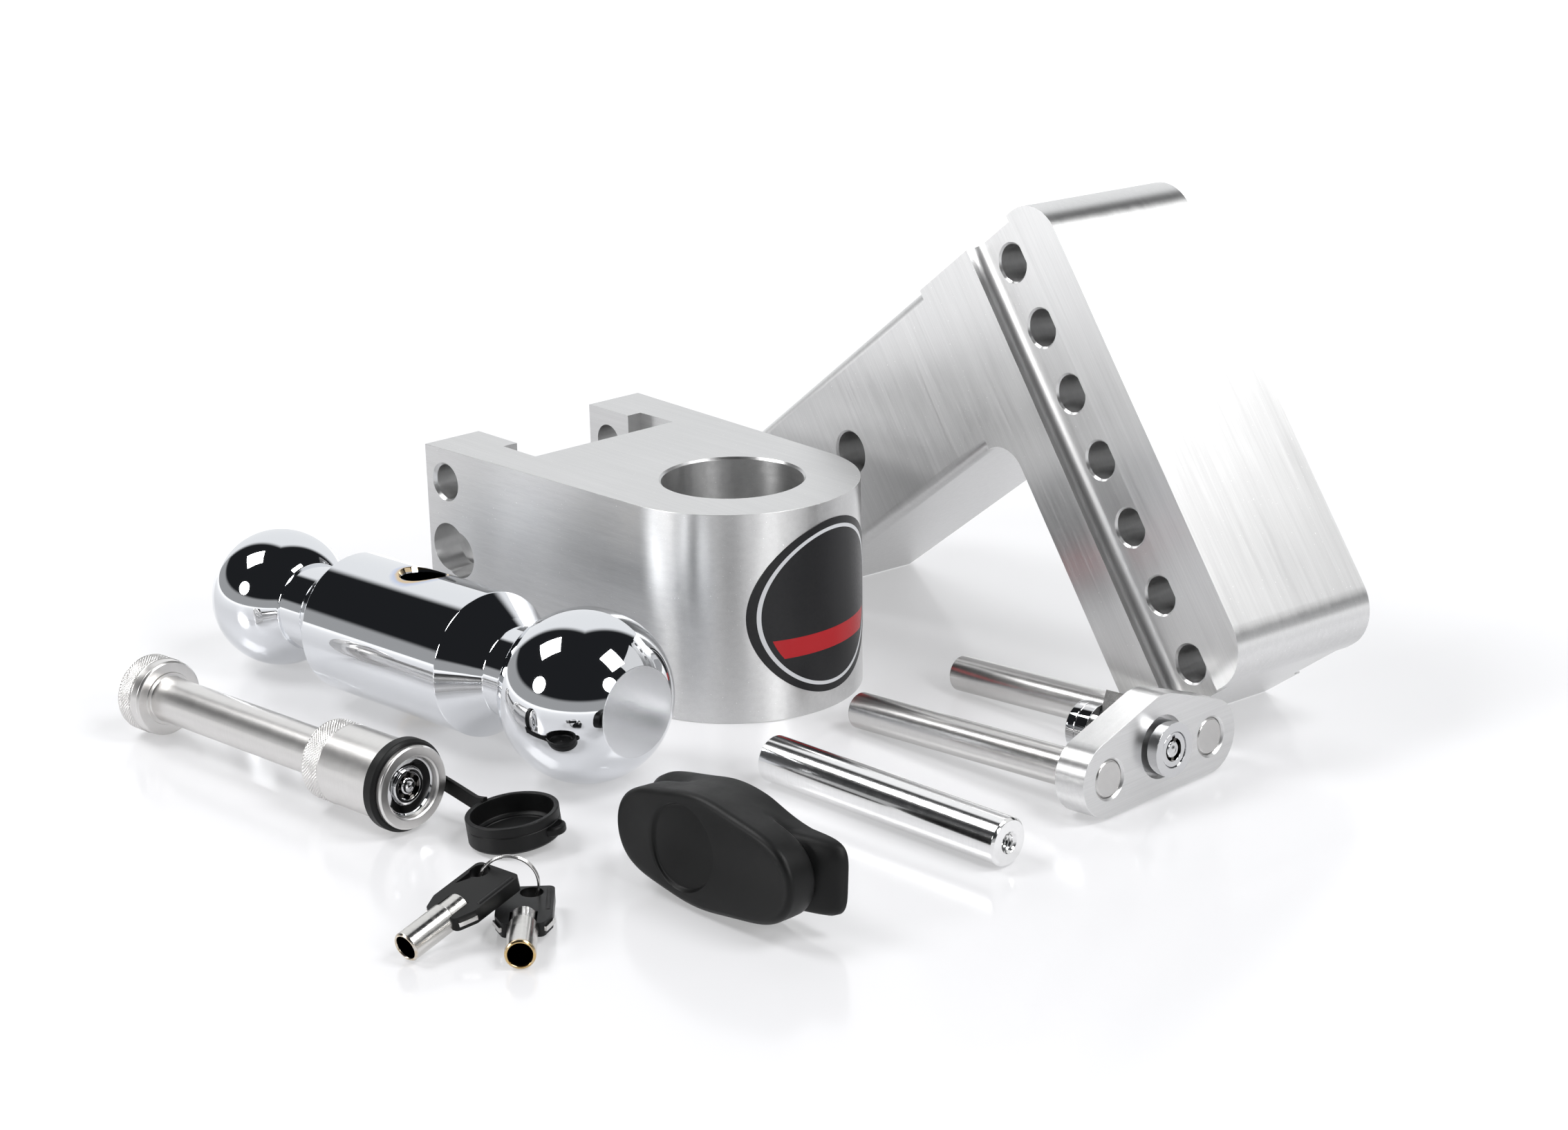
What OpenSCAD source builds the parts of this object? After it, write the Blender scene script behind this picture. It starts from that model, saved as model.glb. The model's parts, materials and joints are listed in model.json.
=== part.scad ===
// Adjustable drop hitch, taken apart and laid out on a bench: drop shaft, ball mount,
// dual ball, ball pin, dual-pin lock, receiver pin with its lock, rubber cover and keys.
// Millimetres, +Z up, bench surface at Z = 0, origin under the middle of the layout.

/* [Drop shaft] */
// Side of the square shank that enters the vehicle's receiver
shank_side = 63.5; // [60:0.1:63.5]
// Length of the shank behind the adjustment rail
shank_len = 155; // [140:1:170]
// Radius along the shank's long edges
shank_edge_r = 4.5; // [2:0.1:6]
// Height of the adjustment rail
rail_len = 177.8; // [177.8:0.1:185]
// Centre distance of neighbouring adjustment holes
hole_pitch = 25.4; // [25:0.1:25.4]
// Number of adjustment holes
hole_count = 7; // [5:1:7]
// Radius of an adjustment hole
rail_hole_r = 6.6; // [6:0.05:7]
// Width of the rail's neck, between the two grooves
neck_w = 52.4; // [48:0.1:53]
// Width of the rail's head, which slides in the ball mount
head_w = 64; // [60:0.1:65]
// Radius of the receiver pin hole
receiver_hole_r = 8.1; // [8:0.05:8.5]

/* [Ball mount] */
// Height of the ball mount
mount_h = 76.2; // [70:0.1:80]
// Radius of the round nose, around the ball's bore
nose_r = 45.7; // [42:0.1:48]
// Half width across the ears at their free end
ear_half = 51.5; // [50:0.1:53]
// Length from the bore's axis to the ears' free end
mount_back = 115.4; // [113:0.1:118]
// Radius of the ball's bore
ball_bore_r = 25.5; // [25.45:0.01:25.6]
// Radius of the round badge on the nose
badge_r = 31.5; // [20:0.5:33]

/* [Ball] */
// Radius of the small ball, 2 inches across
small_ball_r = 25.4; // [25.4:0.1:25.4]
// Radius of the large ball, 2 5/16 inches across
large_ball_r = 29.37; // [29.37:0.01:29.37]
// Centre distance of the two balls
ball_spacing = 169; // [165:0.5:172]
// Radius of the necks behind the balls
neck_r = 16; // [14:0.1:17]
// Radius of the plain pin that holds the ball, 5/8 inch across
ball_pin_r = 7.94; // [7.8:0.01:7.98]
// Length of that pin
ball_pin_len = 101.6; // [95:0.1:103]

/* [Dual-pin lock] */
// Radius of the two locking pins, 1/2 inch across
lock_pin_r = 6.35; // [6:0.01:6.4]
// Centre distance of the two locking pins
lock_pin_pitch = 50.8; // [50.8:0.1:50.8]
// Length of the locking pins, from the plate's face to their tips
lock_pin_len = 113.5; // [110:0.1:116]
// Thickness of the lock's plate
plate_t = 12; // [11:0.1:13]

/* [Receiver pin] */
// Radius of the receiver pin, 5/8 inch across
shaft_r = 7.94; // [7.8:0.01:7.98]
// Length of the pin between its head and the lock
grip_len = 89.5; // [85:0.1:95]
// Radius of the knurled head and of the lock's barrel
barrel_r = 13.5; // [13:0.1:14]
// Length of the lock's barrel
barrel_len = 40.5; // [40:0.1:42]
// Radius of the rubber ring around the barrel
ring_r = 15.3; // [14.6:0.1:16]

/* [Rubber cover and keys] */
// Height of the rubber cover
cover_h = 36.6; // [36:0.1:38]
// Radius of the rubber cover's round ends
cover_end_r = 14; // [13.5:0.1:15]
// Depth of the rubber cover
cover_d = 20; // [18:0.5:24]
// How far the cover's lips flare out at each end
cover_flare = 4; // [2:0.5:6]
// Radius of a key's tube
key_r = 4.6; // [4.5:0.05:4.8]
// Thickness of a key's head
key_t = 4.5; // [4:0.1:4.6]
// Mean radius of the split ring
ring_mean_r = 8.9; // [8.8:0.05:9]

/* [Hidden] */
$fn = 96;
gap = 0.04;          // clearance around every piece that sits in another
eps = 0.01;

// Places on the bench: position and heading of each group.
shaft_at = [173.46, -20.85];       shaft_yaw = -52.8;
mount_at = [-1.14, 36.95];       mount_yaw = -48;
ball_at = [-169.94, 63.85];       ball_yaw = -44.5;
ball_pin_at = [83.96, -131.25];  ball_pin_yaw = -44.9;
plate_at = [118.76, -96.35];       plate_yaw = -47.1;
pin_at = [-197.64, -9.15];       pin_yaw = -42.6;
cap_at = [-69.54, -104.95];         cap_yaw = 0;
cover_at = [-10.44, -161.25];    cover_yaw = -46.3;
key_1_at = [-94.44, -190.15];      key_1_yaw = 50.7;    key_1_tilt = 12;
key_2_at = [-60.44, -195.05];       key_2_yaw = 92;
split_ring_at = [-66.7, -157.95];

// Drop shaft, in its own frame: X forward, Y across, Z up the rail, origin in the lowest hole.
rail_lo = -hole_pitch / 2;
head_x = [12.7, 31.75];
web_x = [-32.5, -13];
head_corner_r = 15.9;
shank_lo = rail_lo + rail_len - shank_side;
web_fillet_r = 12.7;
neck_fillet_r = 4.5;
receiver_hole_x = -118.5;
chamfer = 0.7;
shaft_tilt = atan((shank_lo - rail_lo) / shank_len);
shaft_lift = -web_x[0] * sin(shaft_tilt) - rail_lo * cos(shaft_tilt);

// Ball mount: X towards the nose, Z up, origin on the bore's axis.
mouth_half = 26.7;
mouth_x = -91.4;
slot_x = -72;
slot_half = 33;
ear_hole_x = -104;
ear_hole_r = 6.6;
lobe_r = 9.3;
latch_pocket_r = 14;
latch_pocket_x = 4.5;                // from the ear holes' line
latch_pocket_y = 40;
ear_dist = norm([mount_back, ear_half]);
tangent_a = atan2(ear_half, -mount_back) - acos(nose_r / ear_dist);
badge_t = 0.3;
badge_turn = 7;                      // the badge sits a little off the nose's middle

// Dual ball: X from the small ball to the large one, origin at the small ball's centre.
ball_body = [47.2, 120.8];
cone_l = 10.5;
cone_r = 18.3;
small_flat = -21.8;
large_flat = ball_spacing + 25.1;
cross_hole_r = 8.1;
ball_tilt = asin((large_ball_r - small_ball_r) / ball_spacing);

// Dual-pin lock: X out of the plate's face, Y towards the far pin, origin at the near pin.
plate_end_r = 12.7;
bulge_r = 16;
bulge_at = [27, 5];
lock_at = [26.2, 3.5];
recess_r = 10.6;
recess_d = 3;
hub_r = 9.1;
hub_front = 5;
hub_back = 34;
plug_r = 6;
window = [20.2, 25.3];
cam_w = 7.4;
cam_l = 13.5;
cam_root = 3.6;
key_slot_r = [2.8, 4.5];
tumbler_r = 0.7;
tumbler_ring_r = 3.65;
tumbler_count = 7;
plate_tilt = asin((plate_end_r - lock_pin_r) / (lock_pin_len - plate_t));
plate_lift = plate_end_r * cos(plate_tilt) + plate_t * sin(plate_tilt);

// Receiver pin and its lock: X from the knurled head to the lock, origin at the head's inner face.
pin_head_l = 11.9;
lock_x = grip_len;
lock_end = grip_len + barrel_len;
pin_tip = lock_x + 19;
ball_groove_x = lock_x + 10;
locking_ball_r = 1.8;
locking_ball_c = shaft_r + gap + locking_ball_r + 0.05;
core_r = 10.6;
rubber_x = [lock_end - 7.3, lock_end - 2.3];
face_r = 10;
head_foot = 0.6 - pin_head_l;
ring_foot = rubber_x[0] + 0.55;
pin_tilt = asin((ring_r - barrel_r) / (ring_foot - head_foot));
pin_lift = barrel_r * cos(pin_tilt) - head_foot * sin(pin_tilt);

cap_r = 15;
cap_h = 9;
cap_wall = 1.7;
cap_tilt = 6;
cap_lift = cap_r * sin(cap_tilt);
cover_lean = 3.3;
cover_lift = (cover_h / 2 - 0.5) * cos(cover_lean) + cover_d * sin(cover_lean);
strap_w = 5.5;
strap_t = 2;
strap_root = [-94.24, -81.8, 10];    // beside the rubber ring, where the strap bends
strap_end = [-82.84, -99.95, 8];     // in the cap's wall

module bench(at, yaw) {
    translate([at[0], at[1], 0]) rotate([0, 0, yaw]) children();
}

// A bar along +X from x0 to x1.
module bar(r, x0, x1) {
    translate([x0, 0, 0]) rotate([0, 90, 0]) cylinder(r = r, h = x1 - x0);
}

// A cone along +X.
module cone(r0, r1, x0, x1) {
    translate([x0, 0, 0]) rotate([0, 90, 0]) cylinder(r1 = r0, r2 = r1, h = x1 - x0);
}

// A bar with both of its ends chamfered.
module chamfered_bar(r, x0, x1, c) {
    cone(r - c, r, x0, x0 + c);
    bar(r, x0 + c, x1 - c);
    cone(r, r - c, x1 - c, x1);
}

// The cutter for a hole across Y, chamfered where it leaves the faces at +half and -half.
module cross_hole(r, half, c) {
    rotate([90, 0, 0]) {
        translate([0, 0, -half - 1]) cylinder(r = r, h = 2 * half + 2);
        for (side = [-1, 1])
            translate([0, 0, side * half]) mirror([0, 0, side > 0 ? 0 : 1])
                translate([0, 0, -c]) cylinder(r1 = r, r2 = r + 2 * c, h = 2 * c);
    }
}

// Seven small axial bars on a ring, the tumblers of a tubular lock, from x0 to x1.
module tumbler_ring(r, x0, x1) {
    for (i = [0 : tumbler_count - 1])
        rotate([360 * i / tumbler_count, 0, 0]) translate([0, 0, tumbler_ring_r]) bar(r, x0, x1);
}

// A tubular lock's plug: a ring-shaped key slot in its face and holes for the tumblers.
module tubular_plug(x0, x1, slot_depth, hole_depth) {
    difference() {
        bar(plug_r, x0, x1);
        difference() {
            bar(key_slot_r[1], x1 - slot_depth, x1 + 1);
            bar(key_slot_r[0], x1 - slot_depth - 1, x1 + 2);
        }
        tumbler_ring(tumbler_r + gap, x1 - hole_depth, x1 - slot_depth + eps);
    }
}

// ---- Drop shaft ----
module rounded_square(side, r) {
    square([side, side - 2 * r], center = true);
    square([side - 2 * r, side], center = true);
    for (x = [-1, 1], y = [-1, 1]) translate([x, y] * (side / 2 - r)) circle(r);
}

module head_outline() {
    x_mid = head_x[1] - head_corner_r;
    hi = rail_lo + rail_len;
    intersection() {
        translate([head_x[0], rail_lo]) square([head_x[1] - head_x[0], rail_len]);
        union() {
            translate([0, rail_lo + head_corner_r]) square([head_x[1], rail_len - 2 * head_corner_r]);
            translate([0, rail_lo]) square([x_mid, rail_len]);
            for (z = [rail_lo + head_corner_r, hi - head_corner_r])
                translate([x_mid, z]) circle(head_corner_r);
        }
    }
}

module rail() {
    translate([web_x[0], -shank_side / 2, rail_lo])
        cube([web_x[1] - web_x[0], shank_side, rail_len]);
    translate([web_x[1] - 1, -neck_w / 2, rail_lo])
        cube([head_x[0] - web_x[1] + 2, neck_w, rail_len]);
    for (side = [-1, 1]) translate([web_x[1], side * neck_w / 2, rail_lo]) difference() {
        translate([-1, side > 0 ? -1 : -neck_fillet_r, 0])
            cube([neck_fillet_r + 1, neck_fillet_r + 1, rail_len]);
        translate([neck_fillet_r, side * neck_fillet_r, -1]) cylinder(r = neck_fillet_r, h = rail_len + 2);
    }
    translate([0, head_w / 2, 0]) rotate([90, 0, 0]) linear_extrude(head_w) head_outline();
}

module shank() {
    run_out = 12;
    translate([web_x[0] - shank_len, 0, shank_lo + shank_side / 2]) rotate([90, 0, 90])
        linear_extrude(shank_len + 1) rounded_square(shank_side, shank_edge_r);
    translate([web_x[0] - run_out, -shank_side / 2, shank_lo]) cube([run_out + 1, shank_side, shank_side]);
    difference() {
        translate([web_x[0] - web_fillet_r, -shank_side / 2, shank_lo - web_fillet_r])
            cube([web_fillet_r + 1, shank_side, web_fillet_r + 1]);
        translate([web_x[0] - web_fillet_r, 0, shank_lo - web_fillet_r]) rotate([90, 0, 0])
            cylinder(r = web_fillet_r, h = shank_side + 2, center = true);
    }
}

module drop_shaft() {
    color("silver") bench(shaft_at, shaft_yaw) translate([0, 0, shaft_lift])
        rotate([0, -shaft_tilt, 0]) difference() {
            union() {
                rail();
                shank();
            }
            for (i = [0 : hole_count - 1])
                translate([0, 0, i * hole_pitch]) cross_hole(rail_hole_r, neck_w / 2, chamfer);
            translate([receiver_hole_x, 0, shank_lo + shank_side / 2])
                cross_hole(receiver_hole_r, shank_side / 2, chamfer);
        }
}

// ---- Ball mount ----
module mount_outline() {
    t = nose_r * [cos(tangent_a), sin(tangent_a)];
    circle(nose_r);
    polygon([[-mount_back, -ear_half], [t[0], -t[1]], t, [-mount_back, ear_half]]);
}

module lock_hole_outline() {
    circle(lobe_r);
    translate([5, -2]) circle(lobe_r - 0.3);
}

module ball_mount() {
    mid = mount_h / 2;
    color("silver") bench(mount_at, mount_yaw) difference() {
        linear_extrude(mount_h) mount_outline();
        translate([0, 0, -1]) cylinder(r = ball_bore_r, h = mount_h + 2);
        translate([0, 0, -eps]) cylinder(r1 = ball_bore_r + 0.8, r2 = ball_bore_r, h = 0.8);
        translate([0, 0, mount_h - 0.8 + eps]) cylinder(r1 = ball_bore_r, r2 = ball_bore_r + 0.8, h = 0.8);
        translate([-mount_back - 1, -mouth_half, -1]) cube([mount_back + mouth_x + 2, 2 * mouth_half, mount_h + 2]);
        translate([mouth_x, -slot_half, -1]) cube([slot_x - mouth_x, 2 * slot_half, mount_h + 2]);
        translate([0, 0, mid]) bar(cross_hole_r, slot_x - 1, 31);
        for (z = [-1, 1])
            translate([ear_hole_x, 0, mid + z * lock_pin_pitch / 2]) cross_hole(ear_hole_r, ear_half - 0.6, 0.8);
        translate([ear_hole_x, 0, mid]) rotate([90, 0, 0]) {
            linear_extrude(2 * ear_half + 2, center = true) lock_hole_outline();
            translate([latch_pocket_x, 0, 0])
                cylinder(r = latch_pocket_r, h = 2 * latch_pocket_y, center = true);
        }
    }
}

module mount_badge() {
    color("black") bench(mount_at, mount_yaw) intersection() {
        difference() {
            cylinder(r = nose_r + badge_t, h = mount_h);
            translate([0, 0, -1]) cylinder(r = nose_r, h = mount_h + 2);
        }
        translate([0, 0, mount_h / 2]) rotate([0, 0, badge_turn]) bar(badge_r, 0, nose_r + 1);
    }
}

// ---- Dual ball ----
module ball_neck(x_ball, x_body, way) {
    reach = abs(x_body - x_ball) - cone_l;
    translate([x_ball, 0, 0]) mirror([way < 0 ? 1 : 0, 0, 0]) {
        bar(neck_r, 0, reach + 1);
        cone(neck_r, cone_r, reach - 3.5, reach);
        cone(cone_r, small_ball_r, reach, reach + cone_l);
    }
}

module dual_ball() {
    color("lightgray") bench(ball_at, ball_yaw) translate([0, 0, small_ball_r]) rotate([0, -ball_tilt, 0])
        difference() {
            union() {
                sphere(small_ball_r);
                translate([ball_spacing, 0, 0]) sphere(large_ball_r);
                bar(small_ball_r, ball_body[0], ball_body[1]);
                ball_neck(0, ball_body[0], 1);
                ball_neck(ball_spacing, ball_body[1], -1);
            }
            bar(small_ball_r + 1, small_flat - 10, small_flat);
            bar(large_ball_r + 1, large_flat, large_flat + 10);
            translate([(ball_body[0] + ball_body[1]) / 2, 0, 0]) rotate([-5, 0, 0])
                cylinder(r = cross_hole_r, h = 3 * small_ball_r, center = true);
        }
}

module ball_retaining_pin() {
    thread_r = 2.6;
    color("whitesmoke") bench(ball_pin_at, ball_pin_yaw) translate([0, 0, ball_pin_r]) difference() {
        chamfered_bar(ball_pin_r, -ball_pin_len, 0, 0.9);
        bar(thread_r, -16, 1);
        cone(thread_r, thread_r + 0.7, -0.7, eps);
    }
}

// ---- Dual-pin lock ----
module at_plate() {
    bench(plate_at, plate_yaw) translate([0, 0, plate_lift]) rotate([0, -plate_tilt, 0]) children();
}

module at_plate_lock() {
    at_plate() translate([0, lock_at[0], lock_at[1]]) children();
}

module plate_outline() {
    hull() {
        for (y = [0, lock_pin_pitch]) translate([y, 0]) circle(plate_end_r, $fn = 64);
        translate(bulge_at) circle(bulge_r, $fn = 64);
    }
}

module lock_plate() {
    color("lightgray") at_plate() difference() {
        translate([-plate_t, 0, 0]) rotate([90, 0, 90]) linear_extrude(plate_t) plate_outline();
        for (y = [0, lock_pin_pitch]) translate([0, y, 0]) {
            bar(lock_pin_r + gap, -plate_t - 1, 1);
            cone(lock_pin_r + gap, lock_pin_r + 0.8, -0.8, eps);
        }
        translate([0, lock_at[0], lock_at[1]]) {
            bar(hub_r + gap, -plate_t - 1, 1);
            bar(recess_r, -recess_d, 1);
        }
    }
}

module locking_pin(y) {
    color("silver") at_plate() translate([0, y, 0]) chamfered_bar(lock_pin_r, -lock_pin_len, 0, 0.6);
}

module locking_pin_near() { locking_pin(0); }
module locking_pin_far() { locking_pin(lock_pin_pitch); }

module plate_lock_housing() {
    bore_r = plug_r + gap;
    color("silver") at_plate_lock() difference() {
        bar(hub_r, -hub_back + 4, hub_front);
        bar(bore_r, -hub_back, hub_front + 1);
        intersection() {
            bar(hub_r + 1, -window[1], -window[0]);
            translate([-window[1], -hub_r - 1, -4]) cube([window[1] - window[0], 2 * hub_r + 2, hub_r + 6]);
        }
    }
}

module plate_lock_plug() {
    color("gainsboro") at_plate_lock() difference() {
        union() {
            tubular_plug(-window[0] + 0.05, hub_front - 0.3, 6, 18);
            bar(3, -window[1] + 0.1, -window[0] + 1);
        }
        bar(1.5, -window[1], -14);
    }
}

module plate_lock_tumblers() {
    color("goldenrod") at_plate_lock() tumbler_ring(tumbler_r, hub_front - 18, hub_front - 2.2);
}

module plate_lock_cam() {
    color("silver") at_plate_lock() difference() {
        union() {
            bar(plug_r - 0.1, -window[1] + 0.15, -window[0]);
            rotate([-25, 0, 0]) translate([-window[1] + 0.15, -cam_w / 2, cam_root])
                cube([window[1] - window[0] - 0.15, cam_w, cam_l - cam_root]);
        }
        bar(3 + gap, -window[1], -window[0] + 1);
    }
}

module plate_lock_cam_screw() {
    color("gray") at_plate_lock() {
        bar(1.45, -window[1], -15);
        bar(4.5, -window[1] - 2.6, -window[1] + 0.05);
    }
}

module plate_lock_end_cap() {
    color("silver") at_plate_lock() {
        bar(hub_r, -hub_back, -hub_back + 4);
        bar(plug_r - 0.02, -hub_back + 3, -hub_back + 5.5);
    }
}

// ---- Receiver pin and its lock ----
module at_pin() {
    bench(pin_at, pin_yaw) translate([0, 0, pin_lift]) rotate([0, -pin_tilt, 0]) children();
}

module receiver_pin() {
    groove_r = 6;
    color("silver") at_pin() difference() {
        union() {
            chamfered_bar(barrel_r, -pin_head_l, 0, 0.6);
            chamfered_bar(shaft_r, -1, pin_tip, 1);
        }
        translate([ball_groove_x, 0, 0]) rotate([0, 90, 0]) rotate_extrude()
            translate([groove_r + locking_ball_r, 0]) circle(locking_ball_r + 0.15);
    }
}

module lock_head_shell() {
    neck_r_in = 12.6;
    color("silver") at_pin() difference() {
        union() {
            chamfered_bar(barrel_r, lock_x, rubber_x[0], 0.5);
            bar(neck_r_in, rubber_x[0] - 1, lock_end - 2.3);
        }
        bar(shaft_r + 0.06, lock_x - 1, lock_x + 3);
        bar(core_r + gap, lock_x + 2, lock_end);
        bar(locking_ball_c + locking_ball_r + 0.1, ball_groove_x - 2.2, ball_groove_x + 2.2);
    }
}

module lock_head_core() {
    color("gray") at_pin() difference() {
        bar(core_r, lock_x + 2.05, pin_tip + 3);
        bar(shaft_r + 0.06, lock_x, pin_tip + 0.5);
        for (side = [0, 180]) rotate([side, 0, 0]) translate([ball_groove_x, 0, 0])
            cylinder(r = locking_ball_r + 0.05, h = core_r + 1);
    }
}

module lock_head_balls() {
    color("gainsboro") at_pin() for (side = [0, 180])
        rotate([side, 0, 0]) translate([ball_groove_x, 0, locking_ball_c]) sphere(locking_ball_r);
}

module lock_head_cylinder() {
    color("gainsboro") at_pin() difference() {
        bar(face_r, pin_tip + 3.1, lock_end - 2);
        bar(plug_r + gap, pin_tip + 5, lock_end);
    }
}

module lock_head_plug() {
    color("gainsboro") at_pin() tubular_plug(pin_tip + 5.1, lock_end - 2.2, 5, 11);
}

module lock_head_tumblers() {
    color("goldenrod") at_pin() tumbler_ring(tumbler_r, lock_end - 13, lock_end - 4);
}

module lock_head_end_ring() {
    color("silver") at_pin() difference() {
        union() {
            chamfered_bar(barrel_r + 0.3, lock_end - 2.25, lock_end, 0.4);
            bar(core_r, lock_end - 6, lock_end - 2);
        }
        bar(face_r + gap, lock_end - 7, lock_end + 1);
    }
}

module cap_ring() {
    color("dimgray") at_pin() difference() {
        chamfered_bar(ring_r, rubber_x[0] + gap, rubber_x[1] - gap, 0.5);
        bar(12.6 + gap, rubber_x[0] - 1, rubber_x[1] + 1);
    }
}

module at_cap() {
    bench(cap_at, cap_yaw) translate([0, 0, cap_lift]) rotate([0, -cap_tilt, 0]) children();
}

module strap() {
    run = strap_end - strap_root;
    flat_l = norm([run[0], run[1]]);
    bend = 6; // the strap's soft end, between the ring and the stiff part that swings
    translate(strap_root) rotate([0, 0, atan2(run[1], run[0])]) rotate([0, atan2(-run[2], flat_l), 0])
        translate([bend, -strap_t / 2, -strap_w / 2]) cube([norm(run) - bend, strap_t, strap_w]);
}

module dust_cap() {
    color("dimgray") {
        at_cap() difference() {
            union() {
                cylinder(r = cap_r, h = cap_h);
                rotate([0, 0, -25]) translate([cap_r - 1, 0, 2.5]) cylinder(r = 4, h = 3);
            }
            translate([0, 0, 2]) cylinder(r = cap_r - cap_wall, h = cap_h);
        }
        strap();
    }
}

// ---- Rubber cover: a hollow boot that presses over the lock's plate ----
module at_cover() {
    bench(cover_at, cover_yaw) translate([0, 0, cover_lift]) rotate([90 - cover_lean, 0, 0]) children();
}

// The cover's outline: two round ends and a bulge in the middle.
module cover_outline(half_l, end_r, mid_r) {
    hull() {
        for (x = [-1, 1]) translate([x * half_l, 0]) circle(end_r, $fn = 48);
        translate([-2, 0.5]) circle(mid_r, $fn = 64);
    }
}

module cover_slice(depth, half_l) {
    translate([0, 0, -depth]) linear_extrude(1) cover_outline(half_l, cover_end_r, cover_h / 2);
}

module rubber_cover() {
    half_l = lock_pin_pitch / 2;
    wall = cover_h / 2 - bulge_r - 0.2;
    color("dimgray") at_cover() difference() {
        union() {
            translate([0, 0, -cover_d]) linear_extrude(cover_d)
                cover_outline(half_l, cover_end_r, cover_h / 2);
            hull() {
                cover_slice(cover_d - 6, half_l);
                cover_slice(cover_d, half_l + cover_flare);
            }
        }
        translate([0, 0, -cover_d - 1]) linear_extrude(cover_d - 3)
            cover_outline(half_l, cover_end_r - wall, cover_h / 2 - wall);
    }
}

// ---- Keys ----
module at_key(at, yaw, tilt) {
    bench(at, yaw) translate([0, 0, key_r]) rotate([0, -tilt, 0]) children();
}

module key_tube(at, yaw, tilt) {
    color("silver") at_key(at, yaw, tilt) difference() {
        bar(key_r, key_r * sin(tilt), 24);
        bar(3.5, -1, 15);
    }
}

module key_head(at, yaw, tilt, hole_at, hole_r) {
    color("black") at_key(at, yaw, tilt) difference() {
        translate([0, 0, -key_t / 2]) linear_extrude(key_t) offset(2) offset(-2)
            polygon([[16, -6], [22, -8.5], [41.5, -8.5], [41.5, 8.5], [22, 8.5], [16, 6]]);
        bar(key_r + gap, 0, 24 + gap);
        translate([hole_at[0], hole_at[1], -key_t]) cylinder(r = hole_r, h = 2 * key_t);
    }
}

module key_1_tube() { key_tube(key_1_at, key_1_yaw, key_1_tilt); }
module key_1_head() { key_head(key_1_at, key_1_yaw, key_1_tilt, [37.7, 4.6], 3.2); }
module key_2_tube() { key_tube(key_2_at, key_2_yaw, 0); }
module key_2_head() { key_head(key_2_at, key_2_yaw, 0, [37.1, -1.7], 3.5); }

module split_ring() {
    wire_r = 0.7;
    color("silver") bench(split_ring_at, 0) translate([0, 0, ring_mean_r + wire_r + 0.1]) rotate([90, 0, 0])
        rotate_extrude() translate([ring_mean_r, 0]) circle(wire_r, $fn = 32);
}

drop_shaft();
ball_mount();
mount_badge();
dual_ball();
ball_retaining_pin();
lock_plate();
locking_pin_near();
locking_pin_far();
plate_lock_housing();
plate_lock_plug();
plate_lock_tumblers();
plate_lock_cam();
plate_lock_cam_screw();
plate_lock_end_cap();
receiver_pin();
lock_head_shell();
lock_head_core();
lock_head_balls();
lock_head_cylinder();
lock_head_plug();
lock_head_tumblers();
lock_head_end_ring();
cap_ring();
dust_cap();
rubber_cover();
split_ring();
key_1_tube();
key_1_head();
key_2_tube();
key_2_head();
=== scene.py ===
"""Looks for the trailer hitch laid out on a bench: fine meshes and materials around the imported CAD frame."""
import json
import math

import bmesh
import bpy
from mathutils import Matrix, Vector


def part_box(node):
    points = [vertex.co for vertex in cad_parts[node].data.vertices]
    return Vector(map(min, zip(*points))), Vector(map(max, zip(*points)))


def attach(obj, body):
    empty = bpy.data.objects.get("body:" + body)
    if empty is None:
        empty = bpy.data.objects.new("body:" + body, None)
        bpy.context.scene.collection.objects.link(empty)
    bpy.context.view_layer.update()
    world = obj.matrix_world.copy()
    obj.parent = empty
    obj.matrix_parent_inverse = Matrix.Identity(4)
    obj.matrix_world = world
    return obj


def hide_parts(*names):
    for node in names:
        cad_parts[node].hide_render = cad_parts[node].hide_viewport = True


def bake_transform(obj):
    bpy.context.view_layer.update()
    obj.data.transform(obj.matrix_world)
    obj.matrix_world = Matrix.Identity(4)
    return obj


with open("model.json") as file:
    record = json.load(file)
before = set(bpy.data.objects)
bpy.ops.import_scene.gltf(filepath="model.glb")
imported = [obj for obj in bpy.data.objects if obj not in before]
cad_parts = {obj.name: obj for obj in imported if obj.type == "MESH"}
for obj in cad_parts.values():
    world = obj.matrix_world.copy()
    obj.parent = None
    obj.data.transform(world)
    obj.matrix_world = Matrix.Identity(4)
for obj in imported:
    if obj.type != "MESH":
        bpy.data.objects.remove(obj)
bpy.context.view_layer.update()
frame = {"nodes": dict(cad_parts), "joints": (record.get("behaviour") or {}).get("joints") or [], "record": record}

MM = 0.001
UP = Vector((0, 0, 1))
MOUNTS = {m["name"]: m for m in frame["record"]["mounts"]}
JOINTS = {j["name"]: j for j in frame["joints"]}
OPENINGS = {o["name"]: o["box_m"] for o in frame["record"]["physics"]["openings"]}

# Millimetres from a mount to the point that its piece's frame starts at.
BALL_PIN_SEAT, PLATE_SEAT, PIN_SEAT = 50, 66, 45
PIN_PITCH = 50.8
WELD = 0.0005
PLATE_LOCK_PLACE = (0, 26.2, 3.5)
CAP_R, CAP_TILT = 15.0, math.radians(6)
COVER_LEAN = math.radians(3.3)
COVER_MID, COVER_MID_R, COVER_DEPTH = (-2, 0.5), 18.3, 20.0


# ---------------------------------------------------------------- placing
def level_frame(origin, x_dir):
    """A frame at origin whose X runs along x_dir and whose Y is level."""
    x = Vector(x_dir).normalized()
    y = UP.cross(x).normalized()
    z = x.cross(y)
    m = Matrix((x, y, z)).transposed().to_4x4()
    m.translation = Vector(origin)
    return m


def mount_at(name):
    return Vector(MOUNTS[name]["pos_m"])


def mount_axis(name):
    return Vector(MOUNTS[name]["axis"])


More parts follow.
